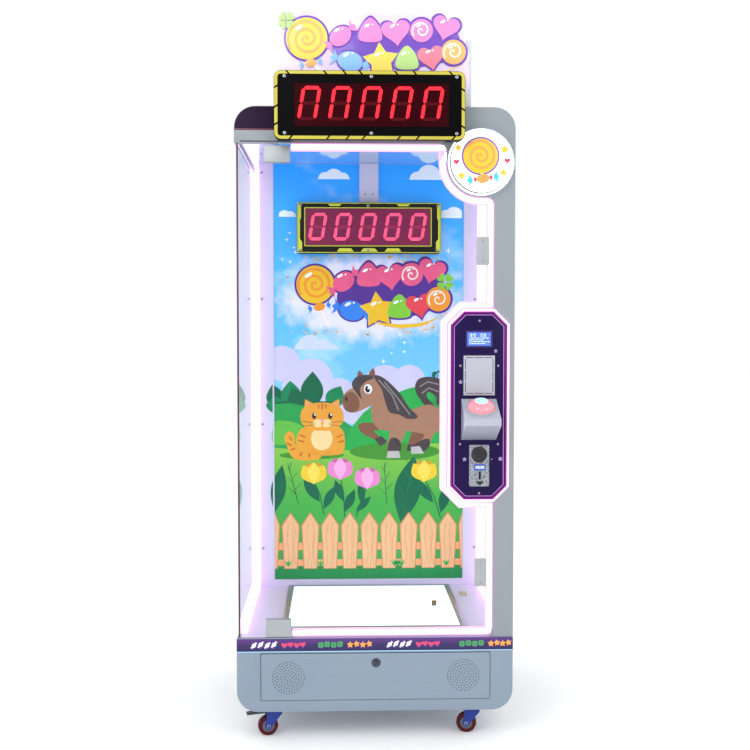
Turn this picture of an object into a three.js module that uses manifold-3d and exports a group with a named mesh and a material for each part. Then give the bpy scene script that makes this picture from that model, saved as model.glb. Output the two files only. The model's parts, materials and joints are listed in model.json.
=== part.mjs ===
// A tall glass-fronted arcade cabinet on four casters: lit cavity with a glowing bed, pivoting glass door,
// octagonal control panel with a coin slot and a dome button, digit displays inside and on top.
// Millimetres, +Z up, front towards -Y. The origin is under the middle of the whole box, on the floor.
import * as THREE from "three";
import { mergeVertices } from "three/addons/utils/BufferGeometryUtils.js";
import Module from "manifold-3d";

const wasm = await Module();
wasm.setup();

// ---- driving dimensions ----
const HALF_W = 430; // half the cabinet's width
const DEPTH = 800; // front face to rear face
const FLOOR_GAP = 91; // caster height under the base
const BASE_TOP = 322; // top of the decorated band, where the doorway starts
const BAND_BOTTOM = 282;
const HEAD_BOTTOM = 1848;
const HEAD_TOP = 1959;
const CORNER = 65; // radius of the cabinet's four outer corners
const WALL = 12; // side walls of base and header
const GAP = 0.3; // between pieces that touch
const FRONT_PANEL = 18; // thickness of the base's front panel
const FASCIA = 30; // depth of the header and column frame
const REAR_PANEL = 18;
const BACK_WALL_Y = 717; // front face of the cavity's back wall
const DECK_TOP = 320;
const CEILING = 1885;

const GLASS = 6; // side windows
const GLASS_INNER = HALF_W - WALL; // inner face of the side windows

const COLUMN_INNER = 367; // inner edge of the right column
const LOBE = { x: 324, z: 1792, r: 106 }; // round lobe of the fascia that carries the medallion
const PANEL = { left: 231, right: 406, bottom: 755, top: 1336, chamfer: 42, front: -14, back: -8 };
const PANEL_LAND = 7.5; // fascia showing round the control panel
const DOORWAY_CORNER = 22;

const DOOR = { left: -415, bottom: 332, top: 1836, y: 2, thick: 5, inset: 11 };
const PIVOT = { x: -300, y: DOOR.y + DOOR.thick / 2, r: 5 };
const LED = { wide: 22, y0: 9, y1: 27, left: -258, bottom: 326 };
const SIDE_LED = 16;

const BED = { half: 297.5, y: 95, side: 595, thick: 9, rim: 20 };
const HATCH = { x0: -355, x1: 358, z0: 127.5, z1: 273.5, thick: 3 };
const SPEAKERS = [{ side: "left", x: -270, z: 198 }, { side: "right", x: 275, z: 202 }];
const LOCK = { x: 2.5, z: 244, r: 14.5 };
const MEDALLION = { r: 97, thick: 20 };
const BUTTON_BOX = { x0: 264, x1: 372, z0: 940, z1: 1067, reach: 118, lipTop: 1014, lipBottom: 994, wall: 3 };
const BUTTON = { r: 40, rim: 46, clear: 0.8, dome: 26, skirt: 10, collar: 5 };
const COIN_PLATE = { x0: 289, x1: 351, z0: 796, z1: 925, thick: 2.7 };
const COIN_SLOT = { x: 322, z: 830.5, wide: 6, tall: 25, deep: 60 };
const RETURN_KNOB = { x: 320, z: 895, r: 20, stem: 6 };

const TOP_DISPLAY = { x0: -305, x1: 268, z0: 1848, z1: 2053, front: -66, back: -21, corner: 22 };
const LIGHTBOX = { x0: -288, x1: 295, z1: 2165, y0: 14, y1: 94 };
const SIGN = { y0: 2, y1: 12 };
const INNER_DISPLAY = { half: 263, z0: 1554, z1: 1738, deep: 50 };
const CHANNEL = { half: 35, deep: 17 };

const CASTER_X = 315;
const CASTER_FRONT = 60; // swivel axes behind the front face
const CASTER = { wheel: 31.5, width: 24, trail: 23, plate: 30, axle: 4, cheek: 3 };
const CASTERS = [
  { name: "front_left", x: -CASTER_X, y: CASTER_FRONT, turn: 12, pedal: true },
  { name: "front_right", x: CASTER_X, y: CASTER_FRONT, turn: -8, pedal: true },
  { name: "rear_left", x: -CASTER_X, y: DEPTH - CASTER_FRONT, turn: 12, pedal: false },
  { name: "rear_right", x: CASTER_X, y: DEPTH - CASTER_FRONT, turn: -8, pedal: false },
];

const FRONT_MOST = PANEL.front - BUTTON_BOX.reach;
const ORIGIN_Y = -(FRONT_MOST + DEPTH) / 2;
const ARC = 4; // a quarter turn of an outline is cut into twice this many segments
const SMALL_ARC = 1; // the same for small corners

// ---- making solids ----
function solid(geometry) {
  const bare = geometry.clone();
  bare.deleteAttribute("normal");
  bare.deleteAttribute("uv");
  const merged = mergeVertices(bare, 1e-4);
  const mesh = new wasm.Mesh({
    numProp: 3,
    vertProperties: new Float32Array(merged.attributes.position.array),
    triVerts: new Uint32Array(merged.index.array),
  });
  return new wasm.Manifold(mesh);
}

function geometryOf(body) {
  const mesh = body.getMesh();
  const geometry = new THREE.BufferGeometry();
  geometry.setAttribute("position", new THREE.BufferAttribute(new Float32Array(mesh.vertProperties), 3));
  geometry.setIndex(new THREE.BufferAttribute(new Uint32Array(mesh.triVerts), 1));
  const flat = geometry.toNonIndexed();
  flat.computeVertexNormals();
  return flat;
}

function box(x0, x1, y0, y1, z0, z1) {
  const geometry = new THREE.BoxGeometry(x1 - x0, y1 - y0, z1 - z0);
  geometry.translate((x0 + x1) / 2, (y0 + y1) / 2, (z0 + z1) / 2);
  return solid(geometry);
}

// An outline in X and Z, pushed from y0 to y1.
function slabY(shape, y0, y1, curveSegments = ARC) {
  const geometry = new THREE.ExtrudeGeometry(shape, { depth: y1 - y0, bevelEnabled: false, curveSegments });
  geometry.rotateX(Math.PI / 2);
  geometry.translate(0, y1, 0);
  return solid(geometry);
}

// An outline in Y and Z, pushed from x0 to x1.
function slabX(shape, x0, x1) {
  const settings = { depth: x1 - x0, bevelEnabled: false, curveSegments: ARC };
  const geometry = new THREE.ExtrudeGeometry(shape, settings);
  const turn = new THREE.Matrix4().makeBasis(
    new THREE.Vector3(0, 1, 0),
    new THREE.Vector3(0, 0, 1),
    new THREE.Vector3(1, 0, 0),
  );
  geometry.applyMatrix4(turn);
  geometry.translate(x0, 0, 0);
  return solid(geometry);
}

// A rod along a unit axis, from a start point.
function rod(r, length, start, axis, segments = 14) {
  const geometry = new THREE.CylinderGeometry(r, r, length, segments);
  geometry.translate(0, length / 2, 0);
  const turn = new THREE.Quaternion().setFromUnitVectors(new THREE.Vector3(0, 1, 0), axis);
  geometry.applyQuaternion(turn);
  geometry.translate(start.x, start.y, start.z);
  return solid(geometry);
}

// A turned piece: its profile is [radius, height] pairs, turned about an axis through the base point.
function turned(profile, base, axis, segments = 32) {
  const points = profile.map(([r, h]) => new THREE.Vector2(r, h));
  const geometry = new THREE.LatheGeometry(points, segments);
  const turn = new THREE.Quaternion().setFromUnitVectors(new THREE.Vector3(0, 1, 0), axis);
  geometry.applyQuaternion(turn);
  geometry.translate(base.x, base.y, base.z);
  return solid(geometry);
}

function outline(points) {
  return new THREE.Shape(points.map(([a, b]) => new THREE.Vector2(a, b)));
}

// A rectangle whose four corners have radii given from the lower left, anticlockwise.
function rounded(x0, x1, z0, z1, [lowLeft, lowRight, highRight, highLeft]) {
  const shape = new THREE.Shape();
  const quarter = Math.PI / 2;
  const corner = (x, z, r, from) => {
    if (r > 0) shape.absarc(x, z, r, from, from + quarter, false);
    else shape.lineTo(x, z);
  };
  shape.moveTo(x0 + lowLeft, z0);
  corner(x1 - lowRight, z0 + lowRight, lowRight, -quarter);
  corner(x1 - highRight, z1 - highRight, highRight, 0);
  corner(x0 + highLeft, z1 - highLeft, highLeft, quarter);
  corner(x0 + lowLeft, z0 + lowLeft, lowLeft, 2 * quarter);
  return shape;
}

const even = (r) => [r, r, r, r];
const UP = new THREE.Vector3(0, 0, 1);
const DOWN = new THREE.Vector3(0, 0, -1);
const INWARD = new THREE.Vector3(0, 1, 0);
const TAN_EIGHTH = Math.tan(Math.PI / 8);

// The doorway's edge from its top left to its bottom left: along the header, round the medallion's lobe,
// down the column, round the control panel and back along the bottom. A larger inset lies further inside.
function doorway(inset, left, top, bottom) {
  const r = Math.max(DOORWAY_CORNER - inset, 4);
  const column = COLUMN_INNER - inset;
  const lobeLow = LOBE.z - LOBE.r - inset;
  const reach = PANEL_LAND + inset;
  const slant = PANEL.chamfer - reach * TAN_EIGHTH;
  const path = new THREE.Path();
  path.moveTo(left, top);
  path.lineTo(LOBE.x - LOBE.r - inset - r, top);
  path.absarc(LOBE.x - LOBE.r - inset - r, top - r, r, Math.PI / 2, 0, true);
  path.absarc(LOBE.x, LOBE.z, LOBE.r + inset, Math.PI, 1.5 * Math.PI, false);
  path.absarc(column - r, lobeLow - r, r, Math.PI / 2, 0, true);
  path.lineTo(column, PANEL.top + reach);
  path.lineTo(PANEL.left + slant, PANEL.top + reach);
  path.lineTo(PANEL.left - reach, PANEL.top - slant);
  path.lineTo(PANEL.left - reach, PANEL.bottom + slant);
  path.lineTo(PANEL.left + slant, PANEL.bottom - reach);
  path.lineTo(column, PANEL.bottom - reach);
  path.absarc(column - r, bottom + r, r, 0, -Math.PI / 2, true);
  path.lineTo(left, bottom);
  return path.getPoints(4);
}

// The control panel's octagon, grown by an offset.
function octagon(offset) {
  const { left, right, bottom, top, chamfer } = PANEL;
  const x0 = left - offset;
  const x1 = right + offset;
  const z0 = bottom - offset;
  const z1 = top + offset;
  const c = chamfer + offset * (1 - 2 * TAN_EIGHTH) + offset * TAN_EIGHTH;
  return outline([
    [x0 + c, z0], [x1 - c, z0], [x1, z0 + c], [x1, z1 - c],
    [x1 - c, z1], [x0 + c, z1], [x0, z1 - c], [x0, z0 + c],
  ]);
}

// ---- the model ----
const cabinet = new THREE.Group();
cabinet.position.y = ORIGIN_Y;

function add(name, body, colour, roughness, metalness = 0, opacity = 1) {
  const material = new THREE.MeshStandardMaterial({
    color: colour, roughness, metalness, opacity, transparent: opacity < 1,
  });
  const mesh = new THREE.Mesh(geometryOf(body), material);
  mesh.name = name;
  cabinet.add(mesh);
}

function addShell() {
  const outerLow = rounded(-HALF_W, HALF_W, FLOOR_GAP, HEAD_TOP, even(CORNER));
  const inset = CORNER - WALL;
  const inner = rounded(-GLASS_INNER, GLASS_INNER, FLOOR_GAP + WALL, HEAD_TOP - WALL, even(inset));
  const y1 = DEPTH - REAR_PANEL - GAP;
  const baseTube = slabY(outerLow, FRONT_PANEL + GAP, y1).subtract(slabY(inner, 0, DEPTH));
  add("base_shell", baseTube.intersect(box(-500, 500, 0, DEPTH, 0, DECK_TOP)), 0x92a3b2, 0.45);
  const headTube = slabY(outerLow, FASCIA + GAP, y1).subtract(slabY(inner, 0, DEPTH));
  add("header_shell", headTube.intersect(box(-500, 500, 0, DEPTH, HEAD_BOTTOM, 2000)), 0xa3abb0, 0.45);

  const r = [CORNER, CORNER, 0, 0];
  const front = slabY(rounded(-HALF_W, HALF_W, FLOOR_GAP, BASE_TOP, r), 0, FRONT_PANEL)
    .subtract(box(HATCH.x0 - 1.5, HATCH.x1 + 1.5, -5, 30, HATCH.z0 - 1.5, HATCH.z1 + 1.5))
    .add(box(PIVOT.x - 40, PIVOT.x + 40, -5, 14, BASE_TOP - 0.01, BASE_TOP + 4))
    .add(rod(PIVOT.r, 26, new THREE.Vector3(PIVOT.x, PIVOT.y, BASE_TOP + 1), UP));
  add("base_front_panel", front, 0x92a3b2, 0.45);
  add("trim_band", box(-HALF_W, HALF_W, -3, -GAP, BAND_BOTTOM, BASE_TOP - 1), 0x2c1a58, 0.35);

  const inlet = box(-214, -186, DEPTH - 30, DEPTH + 10, 170, 190);
  const rear = slabY(rounded(-HALF_W, HALF_W, FLOOR_GAP, HEAD_TOP, even(CORNER)), DEPTH - REAR_PANEL, DEPTH);
  add("rear_panel", rear.subtract(inlet), 0x92a3b2, 0.5);
  const socket = box(-213.5, -186.5, DEPTH - 50, DEPTH - 2, 170.5, 189.5)
    .subtract(box(-209, -191, DEPTH - 16, DEPTH + 1, 174, 186));
  add("mains_inlet", socket, 0x15171a, 0.5);

  const y0 = FRONT_PANEL + GAP;
  const half = GLASS_INNER - GAP;
  add("deck_panel", box(-half, half, y0, y1, DECK_TOP - WALL, DECK_TOP), 0xe9e6f4, 0.4);
  add("ceiling_panel", box(-GLASS_INNER + GAP, GLASS_INNER - GAP, FASCIA + GAP, y1, CEILING, CEILING + 6),
    0xe3d6f2, 0.5);
  add("interior_back_panel", box(-GLASS_INNER + GAP, GLASS_INNER - GAP, BACK_WALL_Y, BACK_WALL_Y + 10,
    DECK_TOP + GAP, CEILING - GAP), 0xeeeaf8, 0.5);
}

function addFascia() {
  const whole = slabY(rounded(-HALF_W, HALF_W, BASE_TOP + GAP, HEAD_TOP, [0, 0, CORNER, CORNER]), 0, FASCIA);
  const open = new THREE.Shape(doorway(0, -HALF_W - 20, HEAD_BOTTOM, BASE_TOP - 60));
  const service = box(262, 395, -5, FASCIA + 5, 790, 1300);
  const fascia = whole.subtract(slabY(open, -5, FASCIA + 5)).subtract(service)
    .add(rod(PIVOT.r, 30, new THREE.Vector3(PIVOT.x, PIVOT.y, HEAD_BOTTOM + 1), DOWN));
  add("front_fascia", fascia, 0xa3abb0, 0.42);

  const disc = new THREE.Vector3(LOBE.x, -GAP, LOBE.z);
  add("medallion", rod(MEDALLION.r, MEDALLION.thick - GAP, disc, INWARD.clone().negate(), 40), 0xf4f4ff, 0.3);
}

function addGlassAndLight() {
  const y1 = DEPTH - REAR_PANEL - GAP;
  const z0 = DECK_TOP + GAP;
  const z1 = HEAD_BOTTOM - GAP;
  const x0 = GLASS_INNER;
  add("side_glass_left", box(-x0 - GLASS, -x0, 3, y1, z0 + 2.5, z1), 0xdfe8ee, 0.05, 0, 0.3);
  add("side_glass_right", box(x0, x0 + GLASS, FASCIA + GAP, y1, z0, z1), 0xdfe8ee, 0.05, 0, 0.3);

  const edge = doorway(0.5, LED.left, HEAD_BOTTOM - 0.5, LED.bottom);
  const inner = doorway(0.5 + LED.wide, LED.left, HEAD_BOTTOM - 0.5 - LED.wide, LED.bottom + LED.wide);
  add("door_led_tube", slabY(new THREE.Shape([...edge, ...inner.reverse()]), LED.y0, LED.y1), 0xffe9ff, 0.3);

  for (const [side, sign, from] of [["left", -1, 66], ["right", 1, 36]]) {
    const back = BACK_WALL_Y - GAP;
    const r = 30;
    const tube = new THREE.Shape();
    tube.moveTo(from, DECK_TOP + GAP);
    tube.lineTo(back - r, DECK_TOP + GAP);
    tube.absarc(back - r, DECK_TOP + GAP + r, r, -Math.PI / 2, 0, false);
    tube.absarc(back - r, CEILING - GAP - r, r, 0, Math.PI / 2, false);
    tube.lineTo(from, CEILING - GAP);
    tube.lineTo(from, CEILING - GAP - SIDE_LED);
    tube.absarc(back - r, CEILING - GAP - r, r - SIDE_LED, Math.PI / 2, 0, true);
    tube.absarc(back - r, DECK_TOP + GAP + r, r - SIDE_LED, 0, -Math.PI / 2, true);
    tube.lineTo(from, DECK_TOP + GAP + SIDE_LED);
    const outer = sign * (GLASS_INNER - GAP);
    const inside = sign * (GLASS_INNER - GAP - SIDE_LED);
    const body = slabX(tube, Math.min(outer, inside), Math.max(outer, inside));
    add("side_led_" + side, body, 0xfff0ff, 0.3);
  }
}

function addDoor() {
  const sheet = new THREE.Shape(doorway(DOOR.inset, DOOR.left, DOOR.top, DOOR.bottom));
  const y1 = DOOR.y + DOOR.thick;
  const half = 12;
  const notchTop = box(PIVOT.x - half, PIVOT.x + half, -20, 30, DOOR.top - 30, DOOR.top + 5);
  const notchLow = box(PIVOT.x - half, PIVOT.x + half, -20, 30, DOOR.bottom - 5, DOOR.bottom + 30);
  add("door_glass", slabY(sheet, DOOR.y, y1).subtract(notchTop).subtract(notchLow), 0xe6eef4, 0.04, 0, 0.25);

  const plug = half - GAP;
  for (const [name, z0, z1, zc0, zc1, mouth, axis] of [
    ["door_clamp_top", 1789, 1839, 1780, DOOR.top + GAP, 1839.5, DOWN],
    ["door_clamp_bottom", 328.5, 382, DOOR.bottom - GAP, 390, 328, UP],
  ]) {
    const low = axis === UP;
    const core = box(PIVOT.x - plug, PIVOT.x + plug, DOOR.y - 1, y1 + 1,
      low ? z0 : z1 - 32.5 + GAP, low ? z0 + 33 - GAP : z1);
    const slot = box(-400, -200, DOOR.y - GAP, y1 + GAP, zc0, zc1).subtract(core);
    const bore = rod(PIVOT.r + GAP, 27, new THREE.Vector3(PIVOT.x, PIVOT.y, mouth), axis);
    const shell = slabY(rounded(PIVOT.x - 39.5, PIVOT.x + 39.5, z0, z1, even(4)), -6, 15, SMALL_ARC);
    add(name, shell.subtract(slot).subtract(bore), 0xa6adb0, 0.4, 0.3);
  }
  for (const [name, x0, x1, z0, z1] of [
    ["strike_plate_upper", 311, 351, 1478, 1565],
    ["strike_plate_lower", 309, 347, 480, 569],
  ]) {
    const outline = rounded(x0, x1, z0, z1, even(4));
    add(name, slabY(outline, DOOR.y - 3, DOOR.y - GAP, SMALL_ARC), 0xa6adb0, 0.4, 0.3);
  }
}

function addControls() {
  const cut = (x0, x1, z0, z1) => box(x0, x1, -60, 20, z0, z1);
  const plate = slabY(octagon(0), PANEL.front, PANEL.back).subtract(cut(293, 347, 799, 922))
    .subtract(cut(276, 362, 1090, 1190));
  add("control_panel", plate, 0x1a0b45, 0.3);
  const ring = slabY(octagon(7), PANEL.back + GAP, -GAP).subtract(slabY(octagon(-7), -20, 5));
  add("panel_halo_led", ring, 0xffe9ff, 0.3);
  const front = PANEL.front - GAP;
  add("lcd_screen", box(280, 357, front - 2, front, 1228, 1274), 0x3a62e8, 0.2);
  add("reader_blank", box(271, 367, front - 2, front, 1078, 1200), 0xa7acb4, 0.45);

  const tray = box(240, 408, FASCIA + GAP, 140, 768, 1322)
    .subtract(box(243, 405, 20, 137, 771, 1319));
  add("control_housing", tray, 0xe3d6f2, 0.5);

  const b = BUTTON_BOX;
  const back = front;
  const tip = back - b.reach + GAP;
  const profile = outline([[back, b.z0], [back, b.z1], [tip, b.lipTop], [tip, b.lipBottom]].reverse());
  const slope = new THREE.Vector2(tip - back, b.lipTop - b.z1).normalize();
  const out = new THREE.Vector3(0, slope.y, -slope.x); // normal of the sloped face
  const middle = new THREE.Vector3((b.x0 + b.x1) / 2, (back + tip) / 2, (b.z1 + b.lipTop) / 2);
  const w = b.wall;
  const core = outline([
    [back + 5, b.z0 + w + 2], [back + 5, b.z1 - w - 3],
    [tip + w, b.lipTop - w - 1], [tip + w, b.lipBottom + w],
  ].reverse());
  const at = (h) => middle.clone().addScaledVector(out, h);
  const hood = slabX(profile, b.x0, b.x1)
    .add(rod(BUTTON.rim, BUTTON.collar + 1, at(-1), out, 28))
    .subtract(slabX(core, b.x0 + w, b.x1 - w))
    .subtract(rod(BUTTON.r + BUTTON.clear, 60, at(-30), out, 28));
  add("button_box", hood, 0xcfd2d8, 0.45);
  const dome = [[0, -BUTTON.skirt], [BUTTON.r, -BUTTON.skirt], [BUTTON.r, 3]];
  const steps = 4;
  for (let i = 1; i <= steps; i++) {
    const a = (i / steps) * (Math.PI / 2);
    dome.push([BUTTON.r * Math.cos(a), 3 + (BUTTON.dome - 3) * Math.sin(a)]);
  }
  dome[dome.length - 1][0] = 0;
  add("push_button", turned(dome, middle, out, 28), 0xff8f9c, 0.2, 0, 0.85);

  const c = COIN_PLATE;
  const slotX = COIN_SLOT.wide / 2;
  const slotZ = COIN_SLOT.tall / 2;
  const lip = slabY(rounded(COIN_SLOT.x - 9, COIN_SLOT.x + 9, COIN_SLOT.z - 18, COIN_SLOT.z + 16, even(5)),
    front - c.thick - 3, front - c.thick + 0.5, SMALL_ARC);
  const mech = slabY(rounded(c.x0, c.x1, c.z0, c.z1, even(5)), front - c.thick, front, SMALL_ARC)
    .add(box(295, 345, front - 0.5, 60, 801, 920))
    .add(lip)
    .subtract(box(COIN_SLOT.x - slotX, COIN_SLOT.x + slotX, -60, COIN_SLOT.deep - 30,
      COIN_SLOT.z - slotZ, COIN_SLOT.z + slotZ))
    .subtract(rod(RETURN_KNOB.stem + 0.4, 40, new THREE.Vector3(RETURN_KNOB.x, -30, RETURN_KNOB.z), INWARD));
  add("coin_mechanism", mech, 0xb9bcc4, 0.35, 0.8);
  const cap = front - c.thick - 5;
  const knob = rod(RETURN_KNOB.r, 9, new THREE.Vector3(RETURN_KNOB.x, cap - 9, RETURN_KNOB.z), INWARD, 24)
    .add(rod(RETURN_KNOB.stem, 24, new THREE.Vector3(RETURN_KNOB.x, cap - 2, RETURN_KNOB.z), INWARD));
  add("coin_return_knob", knob, 0x17171b, 0.4);
}

function addPlayField() {
  const { half, y, side, thick, rim } = BED;
  const z0 = DECK_TOP + GAP;
  const tray = box(-half, half, y, y + side, z0, z0 + thick)
    .subtract(box(-half + rim, half - rim, y + rim, y + side - rim, z0 + 1.2, z0 + 30));
  add("bed_frame", tray, 0xb4b8ba, 0.35, 0.9);
  const clear = rim + GAP;
  add("bed_diffuser", box(-half + clear, half - clear, y + clear, y + side - clear,
    z0 + 1.5, z0 + thick - 1), 0xf4ffff, 0.5);
  add("game_die", box(207, 223, 366, 382, z0 + thick - 1 + GAP, z0 + thick - 1 + GAP + 16), 0x5a3818, 0.4);

  const d = INNER_DISPLAY;
  add("inner_display", slabY(rounded(-d.half, d.half, d.z0, d.z1, even(8)), BACK_WALL_Y - d.deep,
    BACK_WALL_Y - GAP, SMALL_ARC), 0x0b0b10, 0.35);
  add("cable_channel", box(-CHANNEL.half, CHANNEL.half, BACK_WALL_Y - CHANNEL.deep, BACK_WALL_Y - GAP,
    d.z1 + GAP, CEILING - GAP), 0xf2f0f8, 0.45);
}

function addTopper() {
  const t = TOP_DISPLAY;
  const display = slabY(rounded(t.x0, t.x1, t.z0, t.z1, even(t.corner)), t.front, t.back)
    .add(box(t.x0 + 40, t.x1 - 70, t.back - 1, -GAP, t.z0 + 50, t.z1 - 20));
  add("topper_display", display, 0x0a0a0c, 0.35);
  const l = LIGHTBOX;
  add("topper_lightbox", box(l.x0, l.x1, l.y0, l.y1, HEAD_TOP + GAP, l.z1), 0xdadde0, 0.4);

  // The sign's silhouette: round-cornered bars with lobes for the sweets, star and heart that it shows.
  let sign = slabY(rounded(-300, 288, HEAD_TOP + 30, 2110, even(40)), SIGN.y0, SIGN.y1)
    .add(slabY(rounded(-70, 240, 2080, 2235, even(50)), SIGN.y0, SIGN.y1));
  for (const [x, z, r] of [[-232, 2140, 74], [-262, 2205, 38], [-205, 2209, 38], [-120, 2130, 55],
    [-10, 2180, 62], [225, 2150, 52], [255, 2110, 35]]) {
    sign = sign.add(rod(r, SIGN.y1 - SIGN.y0, new THREE.Vector3(x, SIGN.y0, z), INWARD, 24));
  }
  add("topper_sign", sign, 0x7a4ab0, 0.3);
}

function addBaseInside() {
  const plate = box(HATCH.x0, HATCH.x1, 0, HATCH.thick, HATCH.z0, HATCH.z1)
    .add(rod(LOCK.r, 4, new THREE.Vector3(LOCK.x, -3, LOCK.z), INWARD, 24))
    .subtract(rod(9 + GAP, 60, new THREE.Vector3(LOCK.x, -30, LOCK.z), INWARD));
  add("service_hatch", plate, 0x97a6b4, 0.45);
  const cam = rod(9, 26, new THREE.Vector3(LOCK.x, -4.5, LOCK.z), INWARD)
    .add(slabY(rounded(LOCK.x - 9, LOCK.x + 42, LOCK.z - 9, LOCK.z + 9, even(4)), 20.5, 23, SMALL_ARC));
  add("lock_cam", cam, 0xc9ccd2, 0.2, 1);
  for (const s of SPEAKERS) {
    const profile = [[0, 0], [51, 0], [51, 4], [42, 6], [26, 24], [26, 38], [0, 38]];
    const base = new THREE.Vector3(s.x, HATCH.thick + GAP, s.z);
    add("speaker_" + s.side, turned(profile, base, INWARD, 20), 0x1c1d20, 0.6);
  }
  const low = FLOOR_GAP + WALL + GAP;
  add("power_supply", box(-345, -230, 560, 680, low, low + 50), 0xb9bdc0, 0.4, 0.8);
  add("main_board", box(-80, 120, 560, 690, low, low + 22), 0x1f6a3c, 0.5);
  add("cash_box", box(210, 350, 520, 700, low, low + 150).subtract(box(214, 346, 524, 696, low + 4, low + 200)),
    0x5c6066, 0.5, 0.5);
}

// Each caster is modelled about its swivel axis, trailing towards -X, then turned and moved to its place.
function addCaster(caster) {
  const c = CASTER;
  const place = (body) => body.rotate([0, 0, caster.turn]).translate([caster.x, caster.y, 0]);
  const plateTop = FLOOR_GAP - GAP;
  const mount = box(-c.plate, c.plate, -c.plate, c.plate, plateTop - 3, plateTop)
    .add(rod(20, 4.5, new THREE.Vector3(0, 0, plateTop - 7), UP));
  add("caster_plate_" + caster.name, place(mount), 0x1c3fae, 0.35, 0.4);

  const across = INWARD;
  const cheekY = c.width / 2 + 1.5;
  const crown = plateTop - 7 - GAP;
  const side = new THREE.Shape();
  side.moveTo(-c.trail - 11, c.wheel);
  side.absarc(-c.trail, c.wheel, 11, Math.PI, 2 * Math.PI, false);
  side.lineTo(20, crown - 14);
  side.lineTo(20, crown);
  side.lineTo(-26, crown);
  let fork = slabY(side, -cheekY - c.cheek, cheekY + c.cheek)
    .subtract(box(-80, 60, -cheekY, cheekY, -10, crown - c.cheek))
    .add(rod(c.axle, 2 * cheekY + 18, new THREE.Vector3(-c.trail, -cheekY - 9, c.wheel), across, 16));
  if (!caster.pedal) fork = fork.add(rod(22, 3, new THREE.Vector3(0, 0, crown - 3), UP));
  add("caster_fork_" + caster.name, place(fork), 0x12309a, 0.35, 0.4);

  const h = c.width / 2;
  const profile = [
    [c.axle + 0.5, -h], [c.wheel - 2, -h], [c.wheel, -h + 3],
    [c.wheel, h - 3], [c.wheel - 2, h], [c.axle + 0.5, h],
    [c.axle + 0.5, -h],
  ];
  const wheel = turned(profile, new THREE.Vector3(-c.trail, 0, c.wheel), across, 28);
  add("caster_wheel_" + caster.name, place(wheel), 0x3a0f18, 0.55);

  if (caster.pedal) {
    const blade = outline([[-30, 73], [-30, 77], [-58, 79], [-90, 74], [-91, 71], [-58, 73]].reverse());
    const pedal = slabY(blade, -15, 15);
    add("caster_pedal_" + caster.name, place(pedal), 0x3c4248, 0.5);
  }
}

addShell();
addFascia();
addGlassAndLight();
addDoor();
addControls();
addPlayField();
addTopper();
addBaseInside();
CASTERS.forEach(addCaster);

const machine = new THREE.Group();
machine.add(cabinet);
export default machine;
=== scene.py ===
import json
import math
import random

import bpy
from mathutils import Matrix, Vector


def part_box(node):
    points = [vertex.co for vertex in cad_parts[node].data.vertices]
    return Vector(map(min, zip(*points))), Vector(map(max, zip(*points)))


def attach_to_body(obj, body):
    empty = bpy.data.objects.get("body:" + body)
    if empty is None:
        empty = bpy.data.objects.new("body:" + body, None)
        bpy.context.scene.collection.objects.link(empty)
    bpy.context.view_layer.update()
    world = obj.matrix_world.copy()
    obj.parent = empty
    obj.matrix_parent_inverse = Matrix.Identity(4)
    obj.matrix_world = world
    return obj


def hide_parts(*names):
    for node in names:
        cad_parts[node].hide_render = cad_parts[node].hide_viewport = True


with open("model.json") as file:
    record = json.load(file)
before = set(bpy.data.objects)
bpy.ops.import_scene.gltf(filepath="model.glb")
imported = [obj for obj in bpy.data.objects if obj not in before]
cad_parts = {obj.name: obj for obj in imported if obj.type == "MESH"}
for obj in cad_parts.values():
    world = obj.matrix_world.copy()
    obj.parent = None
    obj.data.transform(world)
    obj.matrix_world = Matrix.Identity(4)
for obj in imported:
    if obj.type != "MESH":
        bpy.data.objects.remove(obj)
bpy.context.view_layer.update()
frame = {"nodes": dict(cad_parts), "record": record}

MM = 0.001
INK_GLOW = 0.12  # what the lit cabinet adds to its printed back, as emission
BODIES = frame["record"]["behaviour"]["bodies"]
BODY_OF = {node: body for body, nodes in BODIES.items() for node in nodes}
SLOT_OF = {row["node"]: row["material_slot"] for row in frame["record"]["subparts"]}
SMOOTH_ANGLE = 30  # edges sharper than this many degrees stay edges, and can be eased
PANEL_CORNER = 42  # how much each corner of the control panel loses
CORNER_SHRINK = 0.586  # 2 - sqrt 2: what a cut corner loses for each millimetre that the outline moves in
# the cabinet's front face, just behind the printed band: depths in this script count from it
FRONT_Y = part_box("trim_band")[1][1] + 0.3 * MM


def edges(node):
    """A CAD node's x0, x1, y0, y1, z0, z1 in millimetres, y from the cabinet's front face."""
    low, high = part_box(node)
    return (low[0] / MM, high[0] / MM, (low[1] - FRONT_Y) / MM, (high[1] - FRONT_Y) / MM, low[2] / MM,
            high[2] / MM)


# ---- stage: camera, lights, floor ----

def look_from(x, y, z, down, right, lens):
    """Sets the camera at x, y, z, looking down and to the right by so many degrees."""
    bpy.ops.object.camera_add(
        location=(x * MM, FRONT_Y + y * MM, z * MM),
        rotation=(math.radians(90 - down), 0, math.radians(-right)),
    )
    camera = bpy.context.object
    camera.data.lens = lens
    camera.data.sensor_width = 36
    camera.data.clip_end = 50
    bpy.context.scene.camera = camera


def soft_light(place, aim, size, power):
    """A square studio light at place, in metres, turned towards aim."""
    bpy.ops.object.light_add(type="AREA", location=place)
    lamp = bpy.context.object
    lamp.data.size = size
    lamp.data.energy = power
    direction = [a - b for a, b in zip(aim, place)]
    lamp.rotation_euler = Vector(direction).to_track_quat("-Z", "Y").to_euler()


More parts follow.
